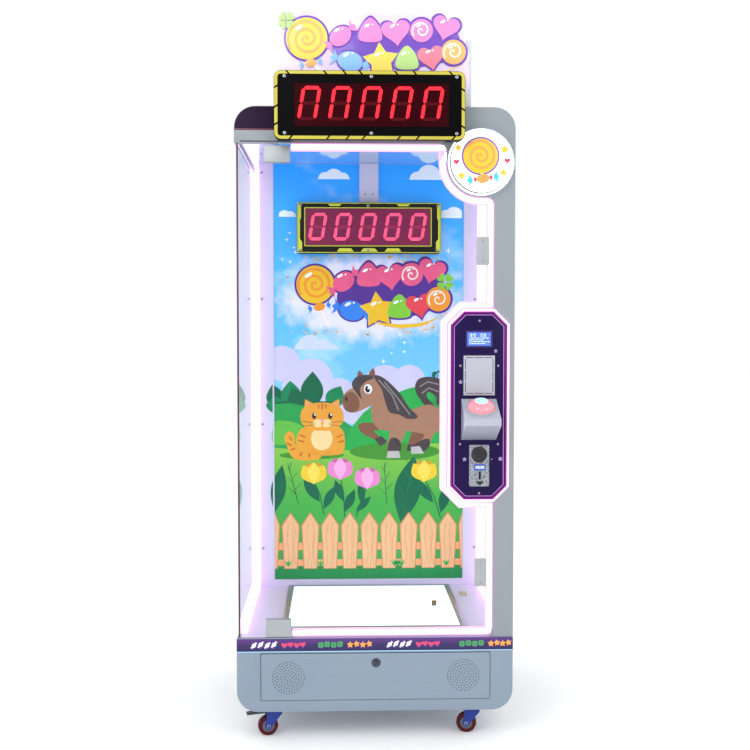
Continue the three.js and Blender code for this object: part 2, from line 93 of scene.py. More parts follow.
def build_stage():
    """Camera, even white surroundings, two soft lights and a pale floor."""
    look_from(x=-117, y=-3500, z=1302, down=2.645, right=1.90, lens=54.65)
    world = bpy.context.scene.world or bpy.data.worlds.new("studio")
    bpy.context.scene.world = world
    world.use_nodes = True
    background = world.node_tree.nodes["Background"]
    background.inputs["Color"].default_value = (1, 1, 1, 1)
    background.inputs["Strength"].default_value = 1.0
    bpy.context.scene.view_settings.view_transform = "Standard"
    soft_light(place=(-2.2, -3.6, 3.4), aim=(0, 0, 1.1), size=2.5, power=60)
    soft_light(place=(2.6, -2.8, 2.6), aim=(0, 0, 1.0), size=2.0, power=25)
    bpy.ops.mesh.primitive_plane_add(size=14, location=(0, 3, 0))
    floor = bpy.context.object
    floor.name = "floor"
    floor.data.materials.append(satin("pale_studio_floor", "#FFFFFF", "#FDFDFD", rough=0.7, patch=400,
                                      glow=0.07))


# ---- materials ----

def tint(code):
    """An sRGB hex code as linear RGBA."""
    parts = [int(code[i:i + 2], 16) / 255 for i in (1, 3, 5)]
    return [c / 12.92 if c <= 0.04045 else ((c + 0.055) / 1.055) ** 2.4 for c in parts] + [1.0]


def put(tree, kind, inputs=None, **settings):
    """Adds a node: settings are its own properties, inputs are values or sockets to link."""
    node = tree.nodes.new("ShaderNode" + kind)
    for key, value in settings.items():
        setattr(node, key, value)
    for key, value in (inputs or {}).items():
        if isinstance(value, bpy.types.NodeSocket):
            tree.links.new(value, node.inputs[key])
        else:
            node.inputs[key].default_value = value
    return node


def new_material(name):
    """An empty material and its node tree."""
    material = bpy.data.materials.new(name)
    material.use_nodes = True
    material.node_tree.nodes.clear()
    return material, material.node_tree


def place_of(tree):
    """A point as placed on the machine, since finished pieces keep their origin at zero."""
    return put(tree, "TexCoord").outputs["Object"]


def shade(tree, **inputs):
    """Ends the tree in a Principled shader with these inputs, whose spaces are written as underscores."""
    shader = put(tree, "BsdfPrincipled", {key.replace("_", " "): value for key, value in inputs.items()})
    put(tree, "OutputMaterial", {"Surface": shader.outputs[0]})
    return shader


def spread(tree, value, low, high):
    """A value from 0 to 1 laid over low to high."""
    return put(tree, "MapRange", {"Value": value, "To Min": low, "To Max": high}).outputs[0]


def blend_colour(tree, factor, first, second):
    """A mix of two colours, each a value or a socket."""
    mix = put(tree, "Mix", data_type="RGBA")
    for socket, value in ((mix.inputs[0], factor), (mix.inputs[6], first), (mix.inputs[7], second)):
        if isinstance(value, bpy.types.NodeSocket):
            tree.links.new(value, socket)
        else:
            socket.default_value = value
    return mix.outputs[2]


def grain(tree, size, detail=3.0, stretch=(1, 1, 1)):
    """Noise whose patches are about size millimetres across."""
    spot = place_of(tree)
    if stretch != (1, 1, 1):
        spot = put(tree, "Mapping", {"Vector": spot, "Scale": stretch}).outputs[0]
    inputs = {"Vector": spot, "Scale": 1 / (size * MM), "Detail": detail}
    return put(tree, "TexNoise", inputs).outputs["Fac"]


def relief(tree, height, depth):
    """The normal of a surface whose height swings by depth millimetres."""
    return put(tree, "Bump", {"Height": height, "Distance": depth * MM}).outputs[0]


def satin(name, main, second, rough=0.4, metal=0.0, patch=60.0, fine=1.5, depth=0.02, coat=0.0,
          stretch=(1, 1, 1), glow=0.0, shine=0.5):
    """A colour with soft patches of a second shade, fine relief, and roughness that wanders with it."""
    material, tree = new_material(name)
    cloud = grain(tree, patch, 2.0)
    speck = grain(tree, fine, 4.0, stretch)
    shade(
        tree, Base_Color=blend_colour(tree, cloud, tint(main), tint(second)), Metallic=metal,
        Roughness=spread(tree, speck, max(rough - 0.06, 0.02), rough + 0.08),
        Normal=relief(tree, speck, depth), Coat_Weight=coat, Coat_Roughness=0.08, Specular_IOR_Level=shine,
        Emission_Color=tint(main), Emission_Strength=glow,
    )
    return material


def lit(name, face, edge, strength, patch=30.0):
    """Opal silicone or acrylic over LEDs: the light itself, a touch uneven from diode to diode."""
    material, tree = new_material(name)
    uneven = grain(tree, patch, 1.0)
    colour = blend_colour(tree, uneven, tint(face), tint(edge))
    shade(tree, Base_Color=tint(face), Roughness=0.35, Emission_Color=colour, Emission_Strength=strength)
    return material


def clear_sheet(name, hue):
    """Glass as a thin sheet: clear head on, mirror-like at a grazing angle, on its outer faces only."""
    material, tree = new_material(name)
    outer = put(tree, "Math", {0: 1.0, 1: put(tree, "NewGeometry").outputs["Backfacing"]},
                operation="SUBTRACT")
    mirror = put(tree, "Math", {0: put(tree, "Fresnel", {"IOR": 1.3}).outputs[0], 1: outer.outputs[0]},
                 operation="MULTIPLY").outputs[0]
    through = put(tree, "BsdfTransparent", {"Color": tint(hue)}).outputs[0]
    shine = put(tree, "BsdfGlossy", {"Color": tint("#FFFFFF"), "Roughness": 0.01}).outputs[0]
    mixed = put(tree, "MixShader", {"Fac": mirror})
    tree.links.new(through, mixed.inputs[1])
    tree.links.new(shine, mixed.inputs[2])
    put(tree, "OutputMaterial", {"Surface": mixed.outputs[0]})
    return material


def printed(name, stops, low, high):
    """Ink on a film: colour runs up the sheet between two heights, with a faint dot-screen unevenness."""
    material, tree = new_material(name)
    where = place_of(tree)
    height = put(tree, "SeparateXYZ", {"Vector": where}).outputs["Z"]
    rise = put(tree, "MapRange", {"Value": height, "From Min": low * MM, "From Max": high * MM}).outputs[0]
    uneven = put(tree, "Math", {0: rise, 1: spread(tree, grain(tree, 120, 3), -0.03, 0.03)},
                 operation="ADD")
    ramp = put(tree, "ValToRGB", {"Fac": uneven.outputs[0]})
    bar = ramp.color_ramp
    bar.elements[0].position, bar.elements[0].color = stops[0][0], tint(stops[0][1])
    bar.elements[1].position, bar.elements[1].color = stops[-1][0], tint(stops[-1][1])
    for position, code in stops[1:-1]:
        bar.elements.new(position).color = tint(code)
    dots = grain(tree, 1.2, 2)
    shade(tree, Base_Color=ramp.outputs["Color"], Roughness=spread(tree, dots, 0.35, 0.47),
          Normal=relief(tree, dots, 0.01))
    return material


# ---- making pieces ----

def only(piece):
    """Makes piece the only one selected, and active."""
    bpy.ops.object.select_all(action="DESELECT")
    piece.select_set(True)
    bpy.context.view_layer.objects.active = piece


def settle(piece, name, material, body="root", slot=None):
    """Bakes the piece's place into its mesh, and names, finishes and attaches it."""
    only(piece)
    bpy.ops.object.transform_apply(location=True, rotation=True, scale=True)
    bpy.ops.object.shade_smooth_by_angle(angle=math.radians(SMOOTH_ANGLE))
    piece.name = name
    piece.data.name = name
    piece.data.materials.clear()
    piece.data.materials.append(material)
    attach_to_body(piece, body)
    return piece


def ease_edges(piece, width, segments=2):
    """Takes width millimetres off every sharp edge."""
    if width <= 0:
        return
    only(piece)
    bevel = piece.modifiers.new("eased", "BEVEL")
    bevel.width = width * MM
    bevel.segments = segments
    bevel.limit_method = "ANGLE"
    bevel.angle_limit = math.radians(SMOOTH_ANGLE)
    bpy.ops.object.modifier_apply(modifier=bevel.name)


def block(name, x0, x1, y0, y1, z0, z1, material, ease=1.0, **attach):
    """A box between two corners in cabinet millimetres, with eased edges."""
    bpy.ops.mesh.primitive_cube_add(
        size=1, location=((x0 + x1) / 2 * MM, FRONT_Y + (y0 + y1) / 2 * MM, (z0 + z1) / 2 * MM),
        scale=((x1 - x0) * MM, (y1 - y0) * MM, (z1 - z0) * MM),
    )
    piece = bpy.context.object
    bpy.ops.object.transform_apply(location=False, rotation=False, scale=True)
    ease_edges(piece, ease)
    return settle(piece, name, material, **attach)


def drum(name, x, y, z, r, depth, material, turn=(90, 0, 0), sides=40, ease=0.6, **attach):
    """A round bar with its middle at x, y, z: upright if unturned, facing forward by the usual turn."""
    bpy.ops.mesh.primitive_cylinder_add(
        vertices=sides, radius=r * MM, depth=depth * MM, location=(x * MM, FRONT_Y + y * MM, z * MM),
        rotation=[math.radians(a) for a in turn],
    )
    piece = bpy.context.object
    ease_edges(piece, ease)
    return settle(piece, name, material, **attach)


def cut_out(name, outlines, y0, y1, material, ease=0.1, rounds=1, **attach):
    """A flat shape standing in the XZ plane from depth y0 to y1; an outline inside another is a hole."""
    curve = bpy.data.curves.new(name, "CURVE")
    curve.dimensions = "2D"
    curve.fill_mode = "BOTH"
    for points in outlines:
        spline = curve.splines.new("POLY")
        spline.points.add(len(points) - 1)
        for point, (x, z) in zip(spline.points, points):
            point.co = (x * MM, z * MM, 0, 1)
        spline.use_cyclic_u = True
    half = (y1 - y0) / 2
    ease = min(ease, half * 0.99)
    curve.extrude = (half - ease) * MM
    curve.bevel_depth = ease * MM
    curve.bevel_resolution = rounds
    curve.offset = -ease * MM
    piece = bpy.data.objects.new(name, curve)
    bpy.context.scene.collection.objects.link(piece)
    only(piece)
    bpy.ops.object.convert(target="MESH")
    piece = bpy.context.object
    piece.rotation_euler = (math.pi / 2, 0, 0)
    piece.location = (0, FRONT_Y + (y0 + y1) / 2 * MM, 0)
    bpy.ops.object.transform_apply(location=True, rotation=True, scale=True)
    bpy.ops.object.mode_set(mode="EDIT")
    bpy.ops.mesh.select_all(action="SELECT")
    bpy.ops.mesh.remove_doubles(threshold=1e-6)
    bpy.ops.mesh.normals_make_consistent(inside=False)
    bpy.ops.object.mode_set(mode="OBJECT")
    return settle(piece, name, material, **attach)


def finish_node(node, material):
    """The CAD node stays as it is and takes this finish."""
    slots = frame["nodes"][node].data.materials
    slots.clear()
    slots.append(material)


def eased(node, width, material, segments=2):
    """A copy of a CAD node with its faces joined up and its edges eased, which stands for the node."""
    source = frame["nodes"][node]
    piece = source.copy()
    piece.data = source.data.copy()
    bpy.context.scene.collection.objects.link(piece)
    piece.parent = None
    only(piece)
    bpy.ops.object.mode_set(mode="EDIT")
    bpy.ops.mesh.select_all(action="SELECT")
    bpy.ops.mesh.remove_doubles(threshold=1e-6)
    bpy.ops.mesh.dissolve_limited(angle_limit=math.radians(1))
    bpy.ops.object.mode_set(mode="OBJECT")
    ease_edges(piece, width, segments)
    settle(piece, node + "_eased", material, BODY_OF[node], SLOT_OF[node])
    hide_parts(node)
    return piece


# ---- outlines, as lists of x, z in millimetres ----

def ring(x, z, r, sides=40, start=0.0, sweep=360.0):
    """A circle, or an arc of it where sweep is under 360 degrees."""
    whole = abs(sweep) >= 360
    steps = sides if whole else sides + 1
    turn = [math.radians(start + sweep * i / sides) for i in range(steps)]
    return [(x + r * math.cos(a), z + r * math.sin(a)) for a in turn]


def star(x, z, r, inner=0.5, tips=5, lean=90.0):
    """A star whose first tip points lean degrees from the right."""
    points = []
    for i in range(2 * tips):
        a = math.radians(lean + 180 * i / tips)
        reach = r if i % 2 == 0 else r * inner
        points.append((x + reach * math.cos(a), z + reach * math.sin(a)))
    return points


def heart(x, z, r, lean=0.0, steps=36):
    """The usual heart curve, about r from middle to edge."""
    points = []
    c, s = math.cos(math.radians(lean)), math.sin(math.radians(lean))
    for i in range(steps):
        t = 2 * math.pi * i / steps
        u = r * 16 * math.sin(t) ** 3 / 17
        v = r * (13 * math.cos(t) - 5 * math.cos(2 * t) - 2 * math.cos(3 * t) - math.cos(4 * t)) / 17
        points.append((x + u * c - v * s, z + u * s + v * c))
    return points


def slab(x0, x1, z0, z1, r=0.0, steps=5):
    """An upright rectangle, with corners rounded by r."""
    if r <= 0:
        return [(x0, z0), (x1, z0), (x1, z1), (x0, z1)]
    points = []
    corners = ((x1 - r, z0 + r, -90), (x1 - r, z1 - r, 0), (x0 + r, z1 - r, 90), (x0 + r, z0 + r, 180))
    for cx, cz, start in corners:
        points += ring(cx, cz, r, steps, start, 90)
    return points


def octagon(x0, x1, z0, z1, c):
    """A rectangle with its corners cut off by c."""
    return [(x0 + c, z0), (x1 - c, z0), (x1, z0 + c), (x1, z1 - c),
            (x1 - c, z1), (x0 + c, z1), (x0, z1 - c), (x0, z0 + c)]


def cloud(x0, x1, base, puffs, steps=48):
    """A flat-bottomed cloud under round puffs, each given by x, radius and height of its middle."""
    points = [(x0, base)]
    for i in range(steps + 1):
        x = x0 + (x1 - x0) * i / steps
        tops = [z + math.sqrt(r * r - (x - cx) ** 2) for cx, r, z in puffs if abs(x - cx) < r]
        points.append((x, max(tops + [base + 0.1])))
    points.append((x1, base))
    return list(reversed(points))


def leaf(x, z, length, width, lean, steps=14, tip=0.5):
    """A pointed leaf from its foot at x, z, lean degrees from upright; tip is where it is widest."""
    side = []
    for i in range(steps + 1):
        t = i / steps
        side.append((width / 2 * math.sin(math.pi * t ** (math.log(0.5) / math.log(tip))), t * length))
    shape = side + [(-u, v) for u, v in reversed(side[1:-1])]
    c, s = math.cos(math.radians(lean)), math.sin(math.radians(lean))
    return [(x + u * c + v * s, z - u * s + v * c) for u, v in shape]


def strip(points, width):
    """A band of even width along a line of points."""
    left, right = [], []
    for i, (x, z) in enumerate(points):
        ax, az = points[max(i - 1, 0)]
        bx, bz = points[min(i + 1, len(points) - 1)]
        length = math.hypot(bx - ax, bz - az) or 1
        nx, nz = -(bz - az) / length * width / 2, (bx - ax) / length * width / 2
        left.append((x + nx, z + nz))
        right.append((x - nx, z - nz))
    return left + right[::-1]


# ---- finishes ----

def mix_finishes():
    """Every finish of the machine, by a short name."""
    f = {}
    # powder-coated sheet steel: even grey with a faint orange-peel relief, soft broad highlights
    f["grey"] = satin("powder_coated_steel_grey", "#90989E", "#889097", rough=0.38, patch=220, fine=2.2,
                      depth=0.03)
    # the same coat in a cooler shade, on the base and the back
    f["blue_grey"] = satin("powder_coated_steel_blue_grey", "#8797A7", "#8090A1", rough=0.38, patch=220,
                           fine=2.2, depth=0.03)
    # white lacquered board: a smooth semi-gloss lining, painted lavender for the pink light of the strips
    # that falls on it
    f["liner"] = satin("white_lacquered_board_painted_pink_light", "#E4D8EF", "#DACDE8", rough=0.35, patch=180, fine=2,
                       depth=0.015, shine=0.3)
    # calendered vinyl film: flat aubergine with hardly any shine
    f["header_film"] = satin("vinyl_film_dark_purple", "#22102E", "#2A1030", rough=0.4, patch=90, fine=1.2,
                             depth=0.01, shine=0.1)
    # digitally printed vinyl: dark purple that lightens towards the top of the band
    f["band"] = printed("printed_vinyl_band", [(0, "#1B1150"), (0.45, "#2B1758"), (1, "#5B2E80")], 282, 322)
    # pale blue with a painted glow: the blue protective film over the top clamp, and the painted highlight
    # along the band's lower edge
    f["lip"] = satin("blue_film_and_painted_edge_highlight", "#A9D6F5", "#9CC8EC", rough=0.3, patch=60, glow=0.25)
    # toughened float glass: clear, told from air only by its reflections
    f["glass"] = clear_sheet("toughened_glass", "#F7FBFC")
    # ground glass edge: light dies in it, so it reads as a dark maroon line
    f["glass_edge"] = satin("ground_glass_edge", "#5B3348", "#3E2434", rough=0.35, patch=90, fine=2)
    # opal silicone over white diodes: a nearly white core, hardly uneven
    f["led"] = lit("opal_silicone_light_strip", "#FFF3FF", "#FFE6FF", 1.9)
    # the tinted sleeve round that core: pink light along both edges of the strip
    f["led_pink"] = lit("opal_silicone_sleeve_pink", "#FFA6E4", "#FFB4EA", 0.95)
    # opal acrylic, lit from behind: the pink rim round the control panel
    f["halo"] = lit("opal_acrylic_halo", "#FFC2F2", "#FFB0EE", 1.5)
    # the same silicone strip seen through the side: pinker and softer
    f["side_led"] = lit("opal_silicone_light_strip_side", "#FFCDF2", "#FFBEEE", 1.7)
    # nickel-plated zinc casting, satin: mid grey with soft broad highlights
    f["fitting"] = satin("satin_nickel_plated_zinc", "#A9AEB1", "#9FA4A8", rough=0.42, metal=0.35, patch=50,
                         fine=0.8, depth=0.01)
    # cast acrylic, polished and printed behind: deep midnight purple with a wet depth
    f["panel_face"] = satin("gloss_acrylic_midnight_purple", "#1A0446", "#140338", rough=0.3, patch=160,
                            fine=1, depth=0.005, shine=0.15)
    # the same acrylic, painted bright magenta for the pink halo light on its edge: a thin bright border
    f["panel_edge"] = satin("gloss_acrylic_painted_magenta_glow", "#8A1488", "#74127C", rough=0.3, patch=120, fine=1,
                            depth=0.005, shine=0.25)
    # screen-printed line: flat lavender, with a faint painted glow
    f["panel_line"] = satin("printed_lavender_line", "#C07FD0", "#A765BE", rough=0.3, patch=80, fine=1,
                            glow=0.1)
    # glass of a small character display: glowing blue with a sharp reflection
    f["lcd"] = satin("lcd_glass_blue_backlight", "#3F63EE", "#5B6CF0", rough=0.12, patch=25, fine=1,
                     depth=0.002, glow=0.75)
    # lit dots of that display: paler than the blue round them
    f["lcd_ink"] = satin("lcd_lit_segments", "#CFE0FF", "#B8D0FF", rough=0.2, patch=10, fine=1, glow=0.6)
    # enamelled pressed steel: light grey with a glossy skin
    f["box"] = satin("enamelled_steel_light_grey", "#B2B8C4", "#A6ACBA", rough=0.3, patch=60, fine=1.4,
                     depth=0.02, coat=0.3)
    # enamelled steel plate: a little darker and flatter than the box
    f["blank"] = satin("enamelled_steel_mid_grey", "#A7ADB5", "#B3B2C2", rough=0.34, patch=70, fine=1.4,
                       depth=0.02)
    # near black without shine: painted shade in screw recesses, slots, keyways, vents and the fan well, the
    # painted shadow under the header rail, and the real dark of seams, mitre joints and the rating plate's
    # text
    f["gap"] = satin("near_black_painted_shade_dark_joints_and_print", "#0A0A0D", "#101014", rough=0.7, patch=20)
    # injection-moulded ABS: soft black with a fine mould grain
    f["black"] = satin("moulded_abs_black", "#131316", "#1B1B20", rough=0.36, patch=25, fine=0.8,
                       depth=0.015)
    # moulded translucent polycarbonate: pink, lit from inside, with a sharp highlight
    f["lens"] = satin("translucent_polycarbonate_pink", "#FF7C8C", "#FF9AA4", rough=0.12, patch=18, fine=1,
                      depth=0.003, coat=0.6, glow=0.30)
    # painted highlight: an ice-blue glowing patch over the top of the lens, brighter than the rest
    f["lens_core"] = satin("painted_ice_blue_highlight", "#8FE4F6", "#C9F8FF", rough=0.15, patch=10,
                           glow=0.45)
    # opal acrylic disc over white diodes: an even, nearly white glow
    f["medal"] = lit("opal_acrylic_disc", "#FDFDFF", "#F1F3FF", 0.75, 60)
    # edge light of the disc: cold white, brighter than its face
    f["medal_halo"] = lit("opal_acrylic_halo_blue", "#DCE8FF", "#E9F0FF", 2.4)
    # satin acrylic: black that keeps the digits readable, with almost no reflection
    f["screen_black"] = satin("satin_acrylic_black", "#050506", "#08080A", rough=0.4, patch=120, fine=1.2,
                              depth=0.004, shine=0.04)
    # red filter acrylic: nearly black red where no segment is lit
    f["red_window"] = satin("red_filter_acrylic", "#34020A", "#280208", rough=0.4, patch=70, fine=1,
                            depth=0.003, shine=0.03)
    # the same red filter behind the door glass, painted a hazy rose with a glow for the pink light and
    # reflections on the glass
    f["rose_window"] = satin("red_filter_acrylic_painted_rose_haze", "#8C1240", "#74104A", rough=0.4, patch=60, fine=1,
                             depth=0.003, shine=0.15, glow=0.12)
    # lit segments: saturated red that gives its own light
    f["digit"] = satin("led_segment_red", "#FF1E2C", "#FF3440", rough=0.3, patch=14, fine=0.8, glow=0.9,
                       shine=0.1)
    # lit segments behind the door glass, painted paler and pinker for the haze of light on the glass
    f["digit_rose"] = satin("led_segment_painted_rose_haze", "#FF4A72", "#FF6084", rough=0.3, patch=14, fine=0.8,
                            glow=0.6, shine=0.1)
    # unlit segments: dark red, just told from the window
    f["digit_dim"] = satin("led_segment_unlit", "#470610", "#520814", rough=0.4, patch=14, fine=0.8,
                           shine=0.06)
    # unlit segments behind the door glass, painted a darker rose for the haze of light on the glass
    f["digit_rose_dim"] = satin("led_segment_unlit_painted_rose_haze", "#B8265A", "#A62254", rough=0.35, patch=14,
                                fine=0.8, shine=0.1)
    # printed film: olive yellow of the upper display, slightly uneven
    f["olive"] = satin("printed_olive_yellow", "#C9C43A", "#B5A33B", rough=0.35, patch=110, fine=1)
    # printed film: bright yellow of the inner display
    f["yellow"] = satin("printed_bright_yellow", "#E8E63A", "#DAD52E", rough=0.35, patch=80, fine=1)
    # enamelled sheet steel: pale grey, smooth, softly reflecting
    f["topper"] = satin("enamelled_steel_lightbox", "#DDE0E4", "#C3C8CE", rough=0.34, patch=180, fine=2,
                        depth=0.02)
    # brushed aluminium extrusion: fine scratches along the bar that streak the highlights
    f["aluminium"] = satin("brushed_aluminium", "#B9BDC0", "#A9AEB2", rough=0.3, metal=0.9, patch=80,
                           fine=0.7, depth=0.01, stretch=(0.05, 1, 1))
    # opal acrylic over a light panel: flat, cool, evenly lit white
    f["bed"] = lit("opal_light_panel", "#EAFFFF", "#E2FBFF", 0.9, 200)
    # varnished beech, stained dark: close brown grain under a clear coat
    f["wood_die"] = satin("varnished_beech_dark", "#5C3A1A", "#4A2C12", rough=0.3, patch=6, fine=0.6,
                          coat=0.4)
    # gold lacquer: warm yellow with a metallic glint
    f["gold"] = satin("gold_lacquer", "#E09A2C", "#F0B848", rough=0.25, metal=0.3, patch=5, fine=0.6,
                      coat=0.4)
    # kraft card: matt beige fibres
    f["beige"] = satin("kraft_card", "#C9B79A", "#BBA888", rough=0.6, patch=12, fine=0.8)
    # polished chromium: mirrors the pale studio in greys
    f["chrome"] = satin("polished_chrome", "#A9ADB5", "#8E929B", rough=0.2, metal=1.0, patch=20, fine=0.6,
                        depth=0.002)
    # zinc-plated steel: bright grey, a little cloudy
    f["zinc"] = satin("zinc_plated_steel", "#B4B7BC", "#9DA1A8", rough=0.3, metal=0.85, patch=15, fine=0.6)
    # gloss enamel on pressed steel: deep blue with a clean highlight
    f["caster_blue"] = satin("gloss_enamel_blue", "#0D37A0", "#0A2A84", rough=0.25, patch=20, fine=1,
                             coat=0.2, shine=0.3)
    # cast polyurethane: maroon and waxy, with little shine
    f["tyre"] = satin("polyurethane_maroon", "#560A1C", "#440816", rough=0.5, patch=12, fine=0.8,
                      depth=0.02, shine=0.2)
    # moulded nylon: dull mid grey
    f["hub"] = satin("moulded_nylon_grey", "#5E6268", "#4C5056", rough=0.45, patch=10, fine=0.8, depth=0.02)
    # black nickel plating: dark mirror that turns from grey to black across the barrel
    f["lock_metal"] = satin("polished_black_nickel", "#565A62", "#3A3E46", rough=0.18, metal=1.0, patch=9,
                            fine=0.6, depth=0.002)
    # moulded nylon: dark grey, slightly rough
    f["pedal"] = satin("moulded_nylon_dark_grey", "#3F464E", "#343A42", rough=0.45, patch=12, fine=0.8,
                       depth=0.02)
    # pressed steel with black paint: dark behind the holes, almost no shine
    f["speaker"] = satin("pressed_steel_black", "#1A1B1E", "#232428", rough=0.5, patch=20)
    # solder mask over copper: dark green and slightly glossy
    f["board"] = satin("solder_mask_green", "#1F6A3C", "#185A32", rough=0.4, patch=12, fine=0.8)
    f["speckle"] = speckled_plate()
    return mix_inks(f)


def speckled_plate():
    """Sparkle-coated steel of a coin plate: fine dark and bright flakes on silver."""
    material, tree = new_material("sparkle_coated_steel")
    flakes = put(tree, "TexVoronoi", {"Vector": place_of(tree), "Scale": 1 / (1.6 * MM)})
    pick = put(tree, "SeparateColor", {"Color": flakes.outputs["Color"]}).outputs[0]
    ramp = put(tree, "ValToRGB", {"Fac": pick})
    ramp.color_ramp.elements[0].color = tint("#262A31")
    ramp.color_ramp.elements[1].color = tint("#BFC4CC")
    shade(tree, Base_Color=ramp.outputs["Color"], Metallic=0.3, Roughness=spread(tree, pick, 0.25, 0.5),
          Normal=relief(tree, pick, 0.05))
    return material


INKS = {  # solvent ink on satin film: the pictures of the backdrop, flat colour with a faint uneven lay-down
    "white": ("#FCFCFF", "#EEF2FF"), "haze": ("#D6CEEC", "#C9BFE3"), "mist": ("#D8DBF4", "#C8CEEE"),
    "gold": ("#F0C053", "#D99A3A"), "bush": ("#108A56", "#0C764A"), "pine": ("#07694A", "#065A3E"),
    "hill": ("#2AA250", "#1F9246"), "meadow": ("#1FA048", "#33B050"), "lime": ("#6CBE46", "#5CB244"),
    "shade": ("#3E8A2A", "#489630"), "ginger": ("#F0A63C", "#E8942E"), "rust": ("#D0702A", "#C26424"),
    "buff": ("#FBD9A0", "#F6CC8C"), "dark": ("#2B1D22", "#38262C"), "petal": ("#F59AB0", "#EE869F"),
    "bay": ("#B07F66", "#A2725A"), "bay_shade": ("#8A5A46", "#7C4E3C"), "mane": ("#3F3638", "#524648"),
    "hoof": ("#C9C1BE", "#AFA6A4"), "grey": ("#84797A", "#958B8C"), "verge": ("#108A48", "#0C7C40"),
    "rail": ("#F2A676", "#EA9866"), "picket": ("#F0B98C", "#E9AC7C"), "picket_edge": ("#D4885A", "#C87C50"),
    "tulip_gold": ("#F6CC3C", "#F0BE2C"), "tulip_gold_shade": ("#DFA024", "#D2921E"),
    "tulip_gold_light": ("#FADB60", "#F6CF48"), "tulip_pink": ("#F08CC8", "#E87ABC"),
    "tulip_pink_shade": ("#D862AA", "#CC549E"), "tulip_pink_light": ("#F9B0DC", "#F4A0D2"),
    "purple": ("#5B2F96", "#4A2482"), "candy_pink": ("#F0628C", "#E84C7C"),
    "candy_blue": ("#3A86E8", "#2E74DA"), "candy_gold": ("#F4C22E", "#EEB01E"),
    "candy_green": ("#8CCB3E", "#78BE34"), "candy_red": ("#EE4A58", "#E03848"),
    "candy_orange": ("#F79A34", "#F08A24"), "cream": ("#FFE9DC", "#FFDCCB"),
}
STICKERS = {  # cut vinyl: small bright shapes with a slight sheen
    "sticker_white": "#F4F1FF", "sticker_red": "#D6406C", "sticker_green": "#3FA646",
    "sticker_orange": "#E9A04C", "sticker_halo": "#3A1F78", "sticker_gold": "#F6C02E",
    "sticker_cyan": "#3FC6E6", "coin_blue": "#1C57B8", "maroon": "#5B1230", "white": "#FFFFFF",
    "panel_grey": "#8F86B0",
}
SIGN_SHADES = {  # backlit acrylic: the same sweets washed out by the light behind them
    "sign_back": "#DCCBEF", "sign_purple": "#6A40B4", "sign_pink": "#E486C6", "sign_blue": "#86BCF2",
    "sign_gold": "#F4D65A", "sign_green": "#B4D884", "sign_rose": "#EC7F96", "sign_orange": "#F4B46A",
    "sign_cream": "#FFF3E8",
}


def sky_print(name):
    """A printed sky: deep blue at the top, paling downwards, with a wide mist behind the sweets."""
    material, tree = new_material(name)
    where = place_of(tree)
    height = put(tree, "SeparateXYZ", {"Vector": where}).outputs["Z"]
    rise = put(tree, "MapRange", {"Value": height, "From Min": 900 * MM, "From Max": 1884 * MM}).outputs[0]
    ramp = put(tree, "ValToRGB", {"Fac": rise})
    ramp.color_ramp.elements[0].color = tint("#86C2EE")
    ramp.color_ramp.elements[1].color = tint("#1C9EFF")
    middle = ramp.color_ramp.elements.new(0.5)
    middle.color = tint("#52B2F6")
    wide, high = 0.34, 0.17  # metres from the middle of the mist to its edge
    oval_space = {"Vector": where, "Location": (-5 * MM / wide, 0, -1400 * MM / high),
                  "Scale": (1 / wide, 0.01, 1 / high)}
    centred = put(tree, "Mapping", oval_space).outputs[0]
    length = put(tree, "VectorMath", {0: centred}, operation="LENGTH").outputs["Value"]
    ragged = put(tree, "Math", {0: length, 1: spread(tree, grain(tree, 50, 4), -0.35, 0.35)},
                 operation="ADD")
    fade = {"Value": ragged.outputs[0], "From Min": 1.08, "From Max": 0.72}
    mist = put(tree, "MapRange", fade).outputs[0]
    streaks = grain(tree, 170, 4, (0.5, 1, 1))
    fade = {"Value": streaks, "From Min": 0.56, "From Max": 0.75, "To Max": 0.55}
    wisps = put(tree, "MapRange", fade).outputs[0]
    hazed = blend_colour(tree, wisps, ramp.outputs["Color"], tint("#E8F3FF"))
    colour = blend_colour(tree, mist, hazed, tint("#E2DAF4"))
    dots = grain(tree, 1.2, 2)
    shade(tree, Base_Color=colour, Roughness=spread(tree, dots, 0.3, 0.42),
          Normal=relief(tree, dots, 0.006),
          Specular_IOR_Level=0.15, Emission_Color=colour, Emission_Strength=INK_GLOW * 1.8)
    return material


